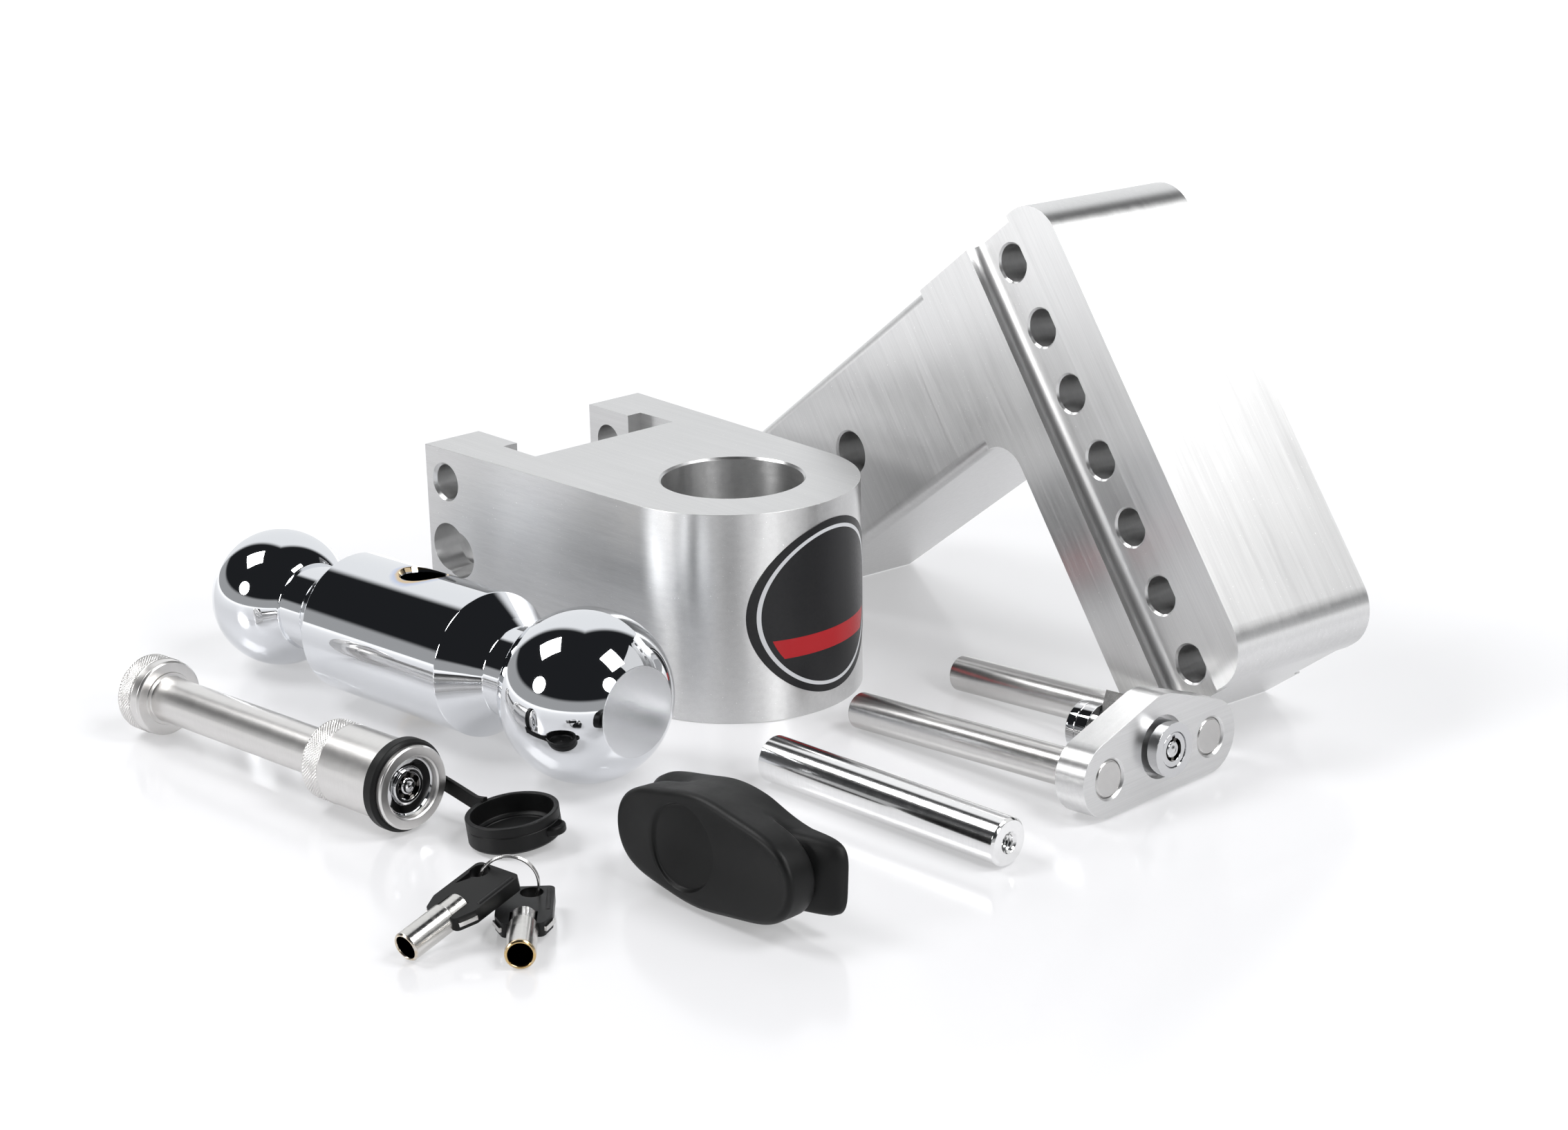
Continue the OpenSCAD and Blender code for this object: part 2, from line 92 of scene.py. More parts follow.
def joint_at(name):
    return Vector(JOINTS[name]["pos_m"])


def opening_at(name):
    """The middle of an opening."""
    lo, hi = OPENINGS[name]
    return (Vector(lo) + Vector(hi)) / 2


def along(m, x, y=0.0, z=0.0):
    """The same frame moved by x, y, z millimetres along its own axes."""
    return m @ Matrix.Translation(Vector((x, y, z)) * MM)


def beyond_mount(name, distance):
    """The point distance millimetres from a mount along its axis."""
    return mount_at(name) + mount_axis(name) * distance * MM


def tilted(x_dir, y_dir, origin):
    """A frame from two perpendicular directions."""
    x, y = Vector(x_dir).normalized(), Vector(y_dir).normalized()
    m = Matrix((x, y, x.cross(y))).transposed().to_4x4()
    m.translation = Vector(origin)
    return m


def key_frame(joint, hole_x, hole_y, yaw, tilt):
    """A key's frame, from the hole that its joint turns about and the way that its tube points."""
    a, t = math.radians(yaw), math.radians(tilt)
    m = level_frame((0, 0, 0), (math.cos(a) * math.cos(t), math.sin(a) * math.cos(t), math.sin(t)))
    m.translation = joint_at(joint) - m @ Vector((hole_x, hole_y, 0)) * MM
    return m


SHAFT = level_frame(mount_at("rail_hole_1"), -mount_axis("shank"))
BORE = mount_at("ball_bore")
MOUNT = level_frame((BORE.x, BORE.y, 0), -mount_axis("ear_hole_upper").cross(UP))
BALL = level_frame(mount_at("small_ball"), mount_axis("large_ball"))
BALL_PIN = level_frame(beyond_mount("ball_pin", BALL_PIN_SEAT), mount_axis("ball_pin"))
PLATE = level_frame(beyond_mount("near_locking_pin", -PLATE_SEAT), -mount_axis("near_locking_pin"))
PLATE_LOCK = along(PLATE, *PLATE_LOCK_PLACE)
PIN = level_frame(beyond_mount("receiver_pin", -PIN_SEAT), mount_axis("receiver_pin"))

CAP_AT = opening_at("dust_cap_inside")
CAP = level_frame((CAP_AT.x, CAP_AT.y, CAP_R * math.sin(CAP_TILT) * MM),
                  (-math.sin(CAP_TILT), 0, math.cos(CAP_TILT)))
COVER_RUN = (opening_at("cover_inside_3") - opening_at("cover_inside_1")).normalized()
COVER_BACK = UP.cross(COVER_RUN)
COVER_AT = opening_at("cover_inside_2") - COVER_BACK * 12 * MM  # its face is 12 mm in front of its inside
COVER_LIFT = ((COVER_MID_R - COVER_MID[1]) * math.cos(COVER_LEAN) + COVER_DEPTH * math.sin(COVER_LEAN)) * MM
COVER = tilted(COVER_RUN, COVER_BACK * math.sin(COVER_LEAN) + UP * math.cos(COVER_LEAN),
               (COVER_AT.x, COVER_AT.y, COVER_LIFT))
KEY_1 = key_frame("key_1_swing", 37.7, 4.6, 50.7, 12)
KEY_2 = key_frame("key_2_swing", 37.1, -1.7, 92, 0)


# ---------------------------------------------------------------- mesh helpers
def finish_mesh(bm, sharp_deg=32):
    """Recalculates normals and marks edges sharper than sharp_deg."""
    bmesh.ops.recalc_face_normals(bm, faces=bm.faces)
    limit = math.radians(sharp_deg)
    for f in bm.faces:
        f.smooth = True
    for e in bm.edges:
        e.smooth = not (len(e.link_faces) == 2 and e.calc_face_angle(0) > limit)


def add_piece(name, bm, matrix, body, slot, material, replaces=(), sharp_deg=32):
    """Turns a bmesh in a local frame, in millimetres, into a piece that rides on a body."""
    bmesh.ops.scale(bm, vec=(MM, MM, MM), verts=bm.verts)
    finish_mesh(bm, sharp_deg)
    mesh = bpy.data.meshes.new(name)
    bm.to_mesh(mesh)
    bm.free()
    return add_mesh(name, mesh, matrix, body, slot, material, replaces)


PIECES = []


def add_mesh(name, mesh, matrix, body, slot, material, replaces=()):
    """Shows a mesh in its local frame. settle() puts it in the whole part's frame at the end."""
    obj = bpy.data.objects.new(name, mesh)
    bpy.context.scene.collection.objects.link(obj)
    obj.matrix_world = matrix
    mesh.materials.clear()
    mesh.materials.append(material)
    PIECES.append((obj, body, slot, replaces))
    return obj


def add_places(mesh, matrix, grain):
    """Keeps each point's place in the local frame, and the way the metal's grain runs, for the materials."""
    count = len(mesh.vertices)
    place = mesh.attributes.new("place", "FLOAT_VECTOR", "POINT")
    flat = [0.0] * (count * 3)
    mesh.vertices.foreach_get("co", flat)
    place.data.foreach_set("vector", flat)
    way = mesh.attributes.new("grain", "FLOAT_VECTOR", "POINT")
    way.data.foreach_set("vector", list(matrix.to_3x3().col[grain]) * count)


def settle(obj, body, slot, replaces):
    """Moves a finished piece's mesh into the whole part's frame and joins the piece to its body."""
    matrix = obj.matrix_world.copy()
    add_places(obj.data, matrix, obj.data.materials[0].get("grain", 0))
    obj.data.transform(matrix)
    obj.matrix_world = Matrix.Identity(4)
    mod = obj.modifiers.new("normals", "WEIGHTED_NORMAL")
    mod.keep_sharp = True
    mod.weight = 60
    old = obj.data
    obj.data = modified_mesh(obj)
    obj.modifiers.clear()
    bpy.data.meshes.remove(old)
    if callable(body):
        body(obj)
    else:
        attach(obj, body)
    if replaces:
        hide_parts(*replaces)


def modified_mesh(obj):
    """The mesh of obj with its modifiers applied."""
    bpy.context.view_layer.update()
    dg = bpy.context.evaluated_depsgraph_get()
    return bpy.data.meshes.new_from_object(obj.evaluated_get(dg), depsgraph=dg)


def rounded(points, steps=4):
    """A path of (x, r) or (x, r, fillet) points with its filleted corners turned into arcs."""
    out = []
    for i, p in enumerate(points):
        if len(p) < 3 or i in (0, len(points) - 1):
            out.append((p[0], p[1]))
            continue
        here, before, after = Vector(p[:2]), Vector(points[i - 1][:2]), Vector(points[i + 1][:2])
        a, b = (before - here).normalized(), (after - here).normalized()
        turn = math.pi - a.angle(b)
        shortest = min((before - here).length, (after - here).length)
        cut = min(p[2] * math.tan(turn / 2), shortest * 0.49)
        radius = cut / math.tan(turn / 2)
        centre = here + (a + b).normalized() * radius / math.cos(turn / 2)
        start, end = here + a * cut - centre, here + b * cut - centre
        for k in range(steps + 1):
            t = k / steps
            v = start.lerp(end, t).normalized() * radius
            out.append(tuple(centre + v))
    return out


def lathe(bm, path, segments=96, relief=None):
    """Turns a path of (x, r) round the X axis. relief(x, angle) adds to the radius."""
    rings = []
    for x, r in path:
        if r < 1e-6:
            rings.append([bm.verts.new((x, 0, 0))])
            continue
        ring = []
        for k in range(segments):
            a = 2 * math.pi * k / segments
            rr = r + (relief(x, a) if relief else 0)
            ring.append(bm.verts.new((x, -rr * math.sin(a), rr * math.cos(a))))
        rings.append(ring)
    for p, q in zip(rings, rings[1:]):
        for k in range(segments):
            n = (k + 1) % segments
            if len(p) == 1 and len(q) == 1:
                continue
            if len(p) == 1:
                bm.faces.new((p[0], q[k], q[n]))
            elif len(q) == 1:
                bm.faces.new((p[k], p[n], q[0]))
            else:
                bm.faces.new((p[k], p[n], q[n], q[k]))
    return bm


def turned(path, segments=96, relief=None):
    return lathe(bmesh.new(), path, segments, relief)


def triangle_wave(t):
    """0 at whole numbers, 1 half way between them."""
    return 1 - abs((t % 1.0) * 2 - 1)


def knurl(x0, x1, pitch, radius, depth):
    """Relief of a diamond knurl between x0 and x1."""
    count = round(2 * math.pi * radius / pitch)

    def relief(x, a):
        edge = min(x - x0, x1 - x) / 0.5
        if edge <= 0:
            return 0.0
        u, v = a / (2 * math.pi) * count, x / pitch
        height = min(triangle_wave(u + v), triangle_wave(u - v))
        return -depth * (1 - min(1.0, height * 1.5)) * min(1.0, edge)
    return relief


def steps_between(x0, x1, step):
    n = max(1, round((x1 - x0) / step))
    return [x0 + (x1 - x0) * i / n for i in range(n + 1)]


def cut(obj, cutter_bm, matrix):
    """Cuts a bmesh, in millimetres in matrix's frame, out of obj's mesh."""
    bmesh.ops.recalc_face_normals(cutter_bm, faces=cutter_bm.faces)
    bmesh.ops.scale(cutter_bm, vec=(MM, MM, MM), verts=cutter_bm.verts)
    for f in cutter_bm.faces:
        f.smooth = True
    mesh = bpy.data.meshes.new("cutter")
    cutter_bm.to_mesh(mesh)
    cutter_bm.free()
    tool = bpy.data.objects.new("cutter", mesh)
    bpy.context.scene.collection.objects.link(tool)
    tool.matrix_world = matrix
    mod = obj.modifiers.new("cut", "BOOLEAN")
    mod.object = tool
    mod.solver = "EXACT"
    new = modified_mesh(obj)
    obj.modifiers.clear()
    old = obj.data
    obj.data = new
    bpy.data.meshes.remove(old)
    bpy.data.objects.remove(tool)
    bpy.data.meshes.remove(mesh)
    resharpen(obj.data)


def resharpen(mesh, sharp_deg=32):
    bm = bmesh.new()
    bm.from_mesh(mesh)
    bmesh.ops.remove_doubles(bm, verts=bm.verts, dist=1e-6)
    finish_mesh(bm, sharp_deg)
    bm.to_mesh(mesh)
    bm.free()


def machined(node, matrix, body, slot, material, bevel):
    """A copy of a CAD node in its own frame, with its edges broken by a bevel.

    The bevel is a width in millimetres, or a function that gives it from the middle of an edge.
    """
    mesh = frame["nodes"][node].data.copy()
    mesh.transform(matrix.inverted())
    bm = bmesh.new()
    bm.from_mesh(mesh)
    bmesh.ops.remove_doubles(bm, verts=bm.verts, dist=2e-6)
    bmesh.ops.dissolve_limit(bm, angle_limit=math.radians(0.6), verts=bm.verts, edges=bm.edges)
    finish_mesh(bm)
    weight = bm.edges.layers.float.new("bevel_weight_edge")
    widths = {e: bevel((e.verts[0].co + e.verts[1].co) / 2 / MM) if callable(bevel) else bevel
              for e in bm.edges if not e.smooth}
    widest = max(widths.values())
    for e, width in widths.items():
        e[weight] = width / widest
    bm.to_mesh(mesh)
    bm.free()
    obj = add_mesh(node + "_fine", mesh, matrix, body, slot, material, [node])
    mod = obj.modifiers.new("bevel", "BEVEL")
    mod.width = widest * MM
    mod.segments = 3
    mod.limit_method = "WEIGHT"
    obj.data = modified_mesh(obj)
    obj.modifiers.clear()
    resharpen(obj.data, 50)
    return obj


# ---------------------------------------------------------------- material helpers
class Nodes:
    """A small builder for one material's node tree."""

    def __init__(self, name):
        self.material = bpy.data.materials.new(name)
        self.material.use_nodes = True
        self.tree = self.material.node_tree
        self.shader = self.tree.nodes["Principled BSDF"]

    def add(self, kind, inputs=None, **settings):
        n = self.tree.nodes.new(kind)
        for k, v in settings.items():
            setattr(n, k, v)
        for k, v in (inputs or {}).items():
            self.plug(n.inputs[k], v)
        return n

    def plug(self, socket, value):
        if isinstance(value, bpy.types.NodeSocket):
            self.tree.links.new(value, socket)
        else:
            socket.default_value = value

    def set(self, **values):
        for k, v in values.items():
            self.plug(self.shader.inputs[k.replace("_", " ")], v)

    def local(self):
        """The place in the piece's own frame. A CAD node keeps no such attribute: its own points do."""
        place = self.add("ShaderNodeAttribute", attribute_name="place")
        own = self.add("ShaderNodeTexCoord").outputs["Object"]
        known = self.add("ShaderNodeVectorMath", {0: place.outputs["Vector"]}, operation="LENGTH")
        pick = self.add("ShaderNodeMix", data_type="VECTOR")
        self.plug(pick.inputs["Factor"], self.math("GREATER_THAN", known.outputs["Value"], 0.0))
        self.plug(pick.inputs[4], own)
        self.plug(pick.inputs[5], place.outputs["Vector"])
        return pick.outputs[1]

    def stretched(self, scale):
        return self.add("ShaderNodeMapping", {"Vector": self.local(), "Scale": scale}).outputs[0]

    def noise(self, vector, scale=1.0, detail=3.0, rough=0.55):
        n = self.add("ShaderNodeTexNoise", {"Vector": vector, "Scale": scale, "Detail": detail,
                                            "Roughness": rough})
        return n.outputs["Fac"]

    def math(self, op, a, b=0.0, c=0.0):
        return self.add("ShaderNodeMath", {0: a, 1: b, 2: c}, operation=op).outputs[0]

    def remap(self, value, lo, hi, to_lo, to_hi):
        n = self.add("ShaderNodeMapRange", {"Value": value, "From Min": lo, "From Max": hi,
                                            "To Min": to_lo, "To Max": to_hi})
        return n.outputs[0]

    def mix(self, factor, a, b):
        n = self.add("ShaderNodeMix", data_type="RGBA")
        self.plug(n.inputs["Factor"], factor)
        self.plug(n.inputs[6], a)
        self.plug(n.inputs[7], b)
        return n.outputs[2]

    def bump(self, height, strength, distance):
        n = self.add("ShaderNodeBump", {"Height": height, "Strength": strength, "Distance": distance})
        self.set(Normal=n.outputs[0])


def grey(v, warm=0.0):
    return (v + warm, v, v - warm, 1.0)


def brushed(name, tone, rough, along_axis):
    """Brushed metal: fine streaks along one local axis, with broader ones and faint scratches."""
    n = Nodes(name)
    grain = "XYZ".index(along_axis)
    fine_scale = tuple(45 if i == grain else 4200 for i in range(3))
    broad_scale = tuple(14 if i == grain else 620 for i in range(3))
    fine = n.noise(n.stretched(fine_scale), 1.0, 3.0, 0.6)
    broad = n.noise(n.stretched(broad_scale), 1.0, 3.0)
    patch = n.noise(n.local(), 22.0, 2.0)
    lines = n.math("ADD", n.math("MULTIPLY", fine, 0.55), n.math("MULTIPLY", broad, 0.45))
    both = n.math("ADD", n.math("MULTIPLY", lines, 0.8), n.math("MULTIPLY", patch, 0.2))
    nick = n.remap(n.noise(n.local(), 1500.0, 1.0), 0.74, 0.80, 0, 1)
    base = n.mix(n.remap(both, 0.32, 0.68, 0, 1), grey(tone * 0.90), grey(min(1.0, tone * 1.08)))
    n.set(Base_Color=n.mix(nick, base, grey(0.95)), Metallic=1.0,
          Roughness=n.remap(both, 0.32, 0.68, rough - 0.05, rough + 0.06), Anisotropic=0.72,
          Anisotropic_Rotation=0.25)
    way = n.add("ShaderNodeAttribute", attribute_name="grain").outputs["Vector"]
    direction = n.add("ShaderNodeVectorTransform", {0: way}, vector_type="VECTOR", convert_from="OBJECT",
                      convert_to="WORLD")
    n.set(Tangent=direction.outputs[0])
    n.bump(lines, 0.10, 0.00005)
    n.material["grain"] = grain
    return n.material


def turned_steel(name, tone, rough, warm, streak):
    """Steel turned on a lathe: fine rings round the local X axis, and faint handling marks."""
    n = Nodes(name)
    rings = n.noise(n.stretched((1300, 6, 6)), 1.0, 2.0)
    marks = n.noise(n.stretched((260, 420, 420)), 1.0, 4.0, 0.65)
    both = n.math("ADD", n.math("MULTIPLY", rings, 0.5), n.math("MULTIPLY", marks, 0.5))
    n.set(Base_Color=n.mix(n.remap(both, 0.3, 0.7, 0, 1), grey(tone * (1 - 0.12 * streak), warm),
                           grey(min(1, tone * (1 + 0.07 * streak)), warm)),
          Metallic=1.0, Roughness=n.remap(both, 0.3, 0.7, rough - 0.05 * streak, rough + 0.06 * streak))
    n.bump(rings, 0.04 * streak, 0.00003)
    return n.material


def mirror_chrome(name, tone):
    """Polished chrome with the faintest orange peel."""
    n = Nodes(name)
    peel = n.noise(n.local(), 90.0, 2.0)
    n.set(Base_Color=(tone, tone * 1.005, tone * 1.02, 1), Metallic=1.0,
          Roughness=n.remap(n.noise(n.local(), 40.0), 0.3, 0.7, 0.02, 0.05))
    n.bump(peel, 0.02, 0.0001)
    return n.material


HOLE_X, HOLE_R, HOLE_TURN = 84.0, 8.1, math.radians(-5)  # the cross hole in the dual ball
BALL_SPACING = 169.0


def ball_chrome():
    """Chrome with a heat tint round the cross hole, and fine turning marks on the large ball's flat."""
    n = Nodes("chrome")
    x, y, z = n.add("ShaderNodeSeparateXYZ", {0: n.local()}).outputs
    side = n.math("ADD", n.math("MULTIPLY", y, math.cos(HOLE_TURN)),
                  n.math("MULTIPLY", z, math.sin(HOLE_TURN)))
    reach = n.add("ShaderNodeCombineXYZ", {0: n.math("SUBTRACT", x, HOLE_X * MM), 1: side})
    away = n.add("ShaderNodeVectorMath", {0: reach.outputs[0]}, operation="LENGTH").outputs["Value"]
    away = n.math("ADD", away, n.remap(n.noise(n.local(), 160.0), 0.3, 0.7, -0.4 * MM, 0.4 * MM))
    chrome, straw, blue = (0.75, 0.765, 0.79, 1), (0.70, 0.54, 0.34, 1), (0.54, 0.60, 0.76, 1)
    dull, flat_tone = (0.42, 0.42, 0.43, 1), (0.66, 0.67, 0.69, 1)
    straw_from, blue_from, blue_all, chrome_all = 8.4 * MM, 9.3 * MM, 10.4 * MM, 12.2 * MM
    bore = n.mix(n.math("GREATER_THAN", away, straw_from), dull, straw)
    near = n.mix(n.remap(away, blue_from, blue_all, 0, 1), bore, blue)
    tinted = n.mix(n.remap(away, blue_all, chrome_all, 0, 1), near, chrome)
    flat = n.math("GREATER_THAN", x, (BALL_SPACING + 25) * MM)
    marks = n.noise(n.stretched((900, 900, 900)), 1.0, 3.0)
    n.set(Base_Color=n.mix(flat, tinted, flat_tone), Metallic=1.0,
          Roughness=n.math("ADD", n.remap(marks, 0.3, 0.7, 0.02, 0.04), n.math("MULTIPLY", flat, 0.20)))
    n.bump(n.noise(n.local(), 90.0, 2.0), 0.02, 0.0001)
    return n.material


def soft_black(name, tone, rough, grain, depth):
    """Moulded rubber or plastic: dark, slightly uneven, with a fine grain and dusty patches."""
    n = Nodes(name)
    fine = n.noise(n.local(), grain, 3.0)
    dust = n.noise(n.local(), 70.0, 5.0, 0.7)
    base = n.mix(n.remap(dust, 0.35, 0.75, 0, 1), (tone, tone * 1.03, tone * 1.06, 1),
                 (tone * 1.7, tone * 1.75, tone * 1.8, 1))
    n.set(Base_Color=base, Roughness=n.remap(dust, 0.3, 0.7, rough - 0.06, rough + 0.08),
          Specular_IOR_Level=0.24)
    n.bump(fine, 0.25, depth)
    return n.material


def plain_metal(name, colour, rough):
    n = Nodes(name)
    spots = n.noise(n.local(), 300.0, 4.0)
    n.set(Base_Color=n.mix(spots, tuple(c * 0.9 for c in colour) + (1,), tuple(colour) + (1,)), Metallic=1.0,
          Roughness=n.remap(spots, 0.3, 0.7, rough - 0.04, rough + 0.05))
    return n.material


KEY_BORE = 3.5


def key_plate():
    """Nickel worn down to brass at the tube's mouth, and painted shade, near black, inside the bore."""
    n = Nodes("key_tube_plate")
    worn_to, bore_from, bore_to = 1.7 * MM, 0.9 * MM, 15.5 * MM
    # dark is painted shade: a near black colour for the bore's walls, standing in for the shade deep in the tube.
    brass, nickel, dark = (0.62, 0.44, 0.20, 1), (0.68, 0.67, 0.65, 1), (0.012, 0.012, 0.012, 1)
    x, y, z = n.add("ShaderNodeSeparateXYZ", {0: n.local()}).outputs
    radius = n.math("SQRT", n.math("ADD", n.math("MULTIPLY", y, y), n.math("MULTIPLY", z, z)))
    uneven = n.math("ADD", x, n.remap(n.noise(n.local(), 700.0, 3.0), 0.3, 0.7, -0.5 * MM, 0.5 * MM))
    plate = n.mix(n.remap(uneven, 0, worn_to, 0, 1), brass, nickel)
    # Painted shade: inside picks the bore's walls, from just past the mouth to the bore's end, and colours them
    # dark.
    deep = n.math("MULTIPLY", n.math("GREATER_THAN", x, bore_from), n.math("LESS_THAN", x, bore_to))
    inside = n.math("MULTIPLY", n.math("LESS_THAN", radius, (KEY_BORE + 0.06) * MM), deep)
    n.set(Base_Color=n.mix(inside, plate, dark), Metallic=1.0,
          Roughness=n.remap(n.noise(n.stretched((700, 160, 160)), 1.0, 3.0), 0.3, 0.7, 0.14, 0.26))
    return n.material


MOUNT_H = 76.2
NOSE_R = 45.7


def badge_film():
    """Gloss black print with a thin silver ring and a plain red bar low down."""
    n = Nodes("badge_print")
    silver, red = (0.62, 0.63, 0.65, 1), (0.42, 0.015, 0.02, 1)
    xyz = n.add("ShaderNodeSeparateXYZ", {0: n.local()}).outputs
    up = n.math("SUBTRACT", xyz[2], MOUNT_H / 2 * MM)
    radius = n.math("SQRT", n.math("ADD", n.math("MULTIPLY", xyz[1], xyz[1]), n.math("MULTIPLY", up, up)))

    def band(value, lo, hi):
        return n.math("MULTIPLY", n.math("GREATER_THAN", value, lo * MM), n.math("LESS_THAN", value, hi * MM))
    ring = band(radius, 27.6, 28.9)
    bar = n.math("MULTIPLY", band(up, -15.5, -8.5), band(radius, 0, 25.8))
    grain = n.noise(n.local(), 900.0)
    black = n.mix(grain, (0.010, 0.010, 0.011, 1), (0.018, 0.018, 0.020, 1))
    colour = n.mix(ring, n.mix(bar, black, red), silver)
    n.set(Base_Color=colour, Roughness=n.remap(grain, 0.3, 0.7, 0.30, 0.38), Specular_IOR_Level=0.25)
    n.bump(grain, 0.05, 0.00005)
    return n.material


ALUMINIUM_X = brushed("brushed_aluminium_long", 0.67, 0.33, "X")
ALUMINIUM_Y = brushed("brushed_aluminium_plate", 0.74, 0.33, "Y")
ALUMINIUM_Z = brushed("brushed_aluminium_rail", 0.74, 0.33, "Z")
CHROME = ball_chrome()
LOCK_CHROME = mirror_chrome("lock_chrome", 0.66)
POLISHED = turned_steel("polished_steel", 0.90, 0.12, 0.0, 0.5)
WORN = turned_steel("worn_steel", 0.60, 0.23, 0.008, 0.5)
STAINLESS = turned_steel("satin_stainless", 0.74, 0.30, 0.012, 0.35)
NICKEL = turned_steel("nickel_plate", 0.66, 0.18, 0.010, 0.5)
KEY_PLATE = key_plate()
LOCK_PINS = plain_metal("lock_pin_steel", (0.16, 0.15, 0.14), 0.35)
RUBBER = soft_black("black_rubber", 0.0035, 0.44, 1800.0, 0.00003)
PLASTIC = soft_black("black_plastic", 0.0035, 0.38, 2600.0, 0.00002)
BADGE = badge_film()


# ---------------------------------------------------------------- drop shaft and ball mount
machined("drop_shaft", SHAFT, "drop_shaft", "brushed_aluminium", ALUMINIUM_Z, 0.5)


def mount_edge(middle):
    """The bevel of a ball mount edge: wide along the outer rim of the top and bottom faces."""
    on_face = min(abs(middle.z), abs(middle.z - MOUNT_H)) < 0.05
    outside = middle.xy.length > NOSE_R - 0.2 if middle.x > 0 else abs(middle.y) > NOSE_R * 0.9
    return 2.6 if on_face and outside else 0.5


machined("ball_mount", MOUNT, "ball_mount", "brushed_aluminium", ALUMINIUM_X, mount_edge)


def badge():
    """A thin round film on the nose, with its rim turned down onto the metal and a closed back."""
    bm = bmesh.new()
    radius, segments, film, sunk = 31.5, 128, 0.28, 0.02

    def add_ring(r, proud):
        """A ring of radius r that lies proud of the nose's round face."""
        ring = []
        for k in range(segments if r else 1):
            a = 2 * math.pi * k / segments
            y, z = r * math.sin(a), MOUNT_H / 2 + r * math.cos(a)
            ring.append(bm.verts.new((math.sqrt((NOSE_R + proud) ** 2 - y * y), y, z)))
        return ring
    rings = [add_ring(r, film) for r in [0] + steps_between(1, radius, 1.0)] + [add_ring(radius + sunk, sunk)]
    rings.append([bm.verts.new((v.co.x - 2 * sunk, v.co.y, v.co.z)) for v in rings[-1]])
    rings += [add_ring(r, -sunk) for r in reversed(steps_between(6, 28, 4.4))]
    rings.append([bm.verts.new((NOSE_R - 0.06, 0, MOUNT_H / 2))])
    for p, q in zip(rings, rings[1:]):
        for k in range(segments):
            n = (k + 1) % segments
            if len(p) == 1:
                bm.faces.new((p[0], q[k], q[n]))
            elif len(q) == 1:
                bm.faces.new((p[k], q[0], p[n]))
            else:
                bm.faces.new((p[k], q[k], q[n], p[n]))
    place = MOUNT @ Matrix.Rotation(math.radians(7), 4, "Z")
    add_piece("mount_badge_film", bm, place, "ball_mount", "badge_print", BADGE, ["mount_badge"])


badge()


# ---------------------------------------------------------------- dual ball and its pin
def arc_path(centre, radius, x0, x1, count):
    """Points on a circle about (centre, 0), from x0 to x1, evenly spaced by angle."""
    a0 = math.acos(max(-1, min(1, (x0 - centre) / radius)))
    a1 = math.acos(max(-1, min(1, (x1 - centre) / radius)))
    return [(centre + radius * math.cos(a0 + (a1 - a0) * i / count),
             radius * math.sin(a0 + (a1 - a0) * i / count)) for i in range(count + 1)]


def dual_ball():
    small, large, neck, body = 25.4, 29.37, 16.0, 25.4
    flat_small, flat_large = -21.8, BALL_SPACING + 25.1
    join_small = math.sqrt(small ** 2 - neck ** 2)
    join_large = BALL_SPACING - math.sqrt(large ** 2 - neck ** 2)
    face_small = math.sqrt(small ** 2 - flat_small ** 2)
    face_large = math.sqrt(large ** 2 - (flat_large - BALL_SPACING) ** 2)
    path = [(flat_small, 0), (flat_small, face_small * 0.5), (flat_small, face_small, 0.7)]
    path += arc_path(0, small, flat_small, join_small, 56)[1:-1]
    path += [(join_small, neck, 1.5), (33.2, neck, 1.5), (36.7, 18.3, 0.8), (47.2, body, 0.9),
             (58, body), (73, body), (95, body), (108, body),
             (120.8, body, 0.9), (131.3, 18.3, 0.8), (134.8, neck, 1.5), (join_large, neck, 1.5)]
    path += arc_path(BALL_SPACING, large, join_large, flat_large, 60)[1:-1]
    path += [(flat_large, face_large, 0.7), (flat_large, face_large * 0.5), (flat_large, 0)]
    piece = add_piece("dual_ball_turned", turned(rounded(path, 5), 160), BALL, "dual_ball", "chrome", CHROME,
                      ["dual_ball"])
    lead, lead_end, reach, wide = 1.1, body - 1.9, body + 4, HOLE_R + 6
    drill = turned([(-reach, 0), (-reach, wide), (-body + lead * 0.2, HOLE_R + lead), (-lead_end, HOLE_R),
                    (lead_end, HOLE_R), (body - lead * 0.2, HOLE_R + lead), (reach, wide), (reach, 0)], 96)
    turn = Matrix.Rotation(HOLE_TURN, 4, "X") @ Matrix.Rotation(math.radians(-90), 4, "Y")
    cut(piece, drill, along(BALL, HOLE_X) @ turn)


dual_ball()


def ball_pin():
    """A plain pin with a chamfer at both ends, and a threaded hole in one."""
    radius, length, chamfer = 7.94, 101.6, 0.8
    root, crest, pitch, mouth, thread_end = 2.6, 3.1, 1.27, -0.6, -14
    path = [(-length, 0), (-length, 5), (-length, radius - chamfer, 0.3), (-length + chamfer, radius, 0.3),
            (-length / 2, radius), (-chamfer, radius, 0.3), (0, radius - chamfer, 0.2), (0, 5),
            (0, crest + 0.5, 0.1), (mouth, crest)]
    thread = [(-x, root) for x in steps_between(0.8, -thread_end, 0.16)]

    def helix(x, a):
        if not thread_end < x < mouth - 0.1:
            return 0.0
        return (crest - root) * triangle_wave(x / pitch + a / (2 * math.pi))
    bm = turned(rounded(path))
    lathe(bm, [(mouth, crest)] + thread + [(thread_end - 0.2, root), (thread_end - 2, 0)], relief=helix)
    bmesh.ops.remove_doubles(bm, verts=bm.verts, dist=WELD)
    add_piece("ball_pin_turned", bm, BALL_PIN, "ball_pin", "polished_steel", POLISHED,
              ["ball_retaining_pin"], 40)


ball_pin()


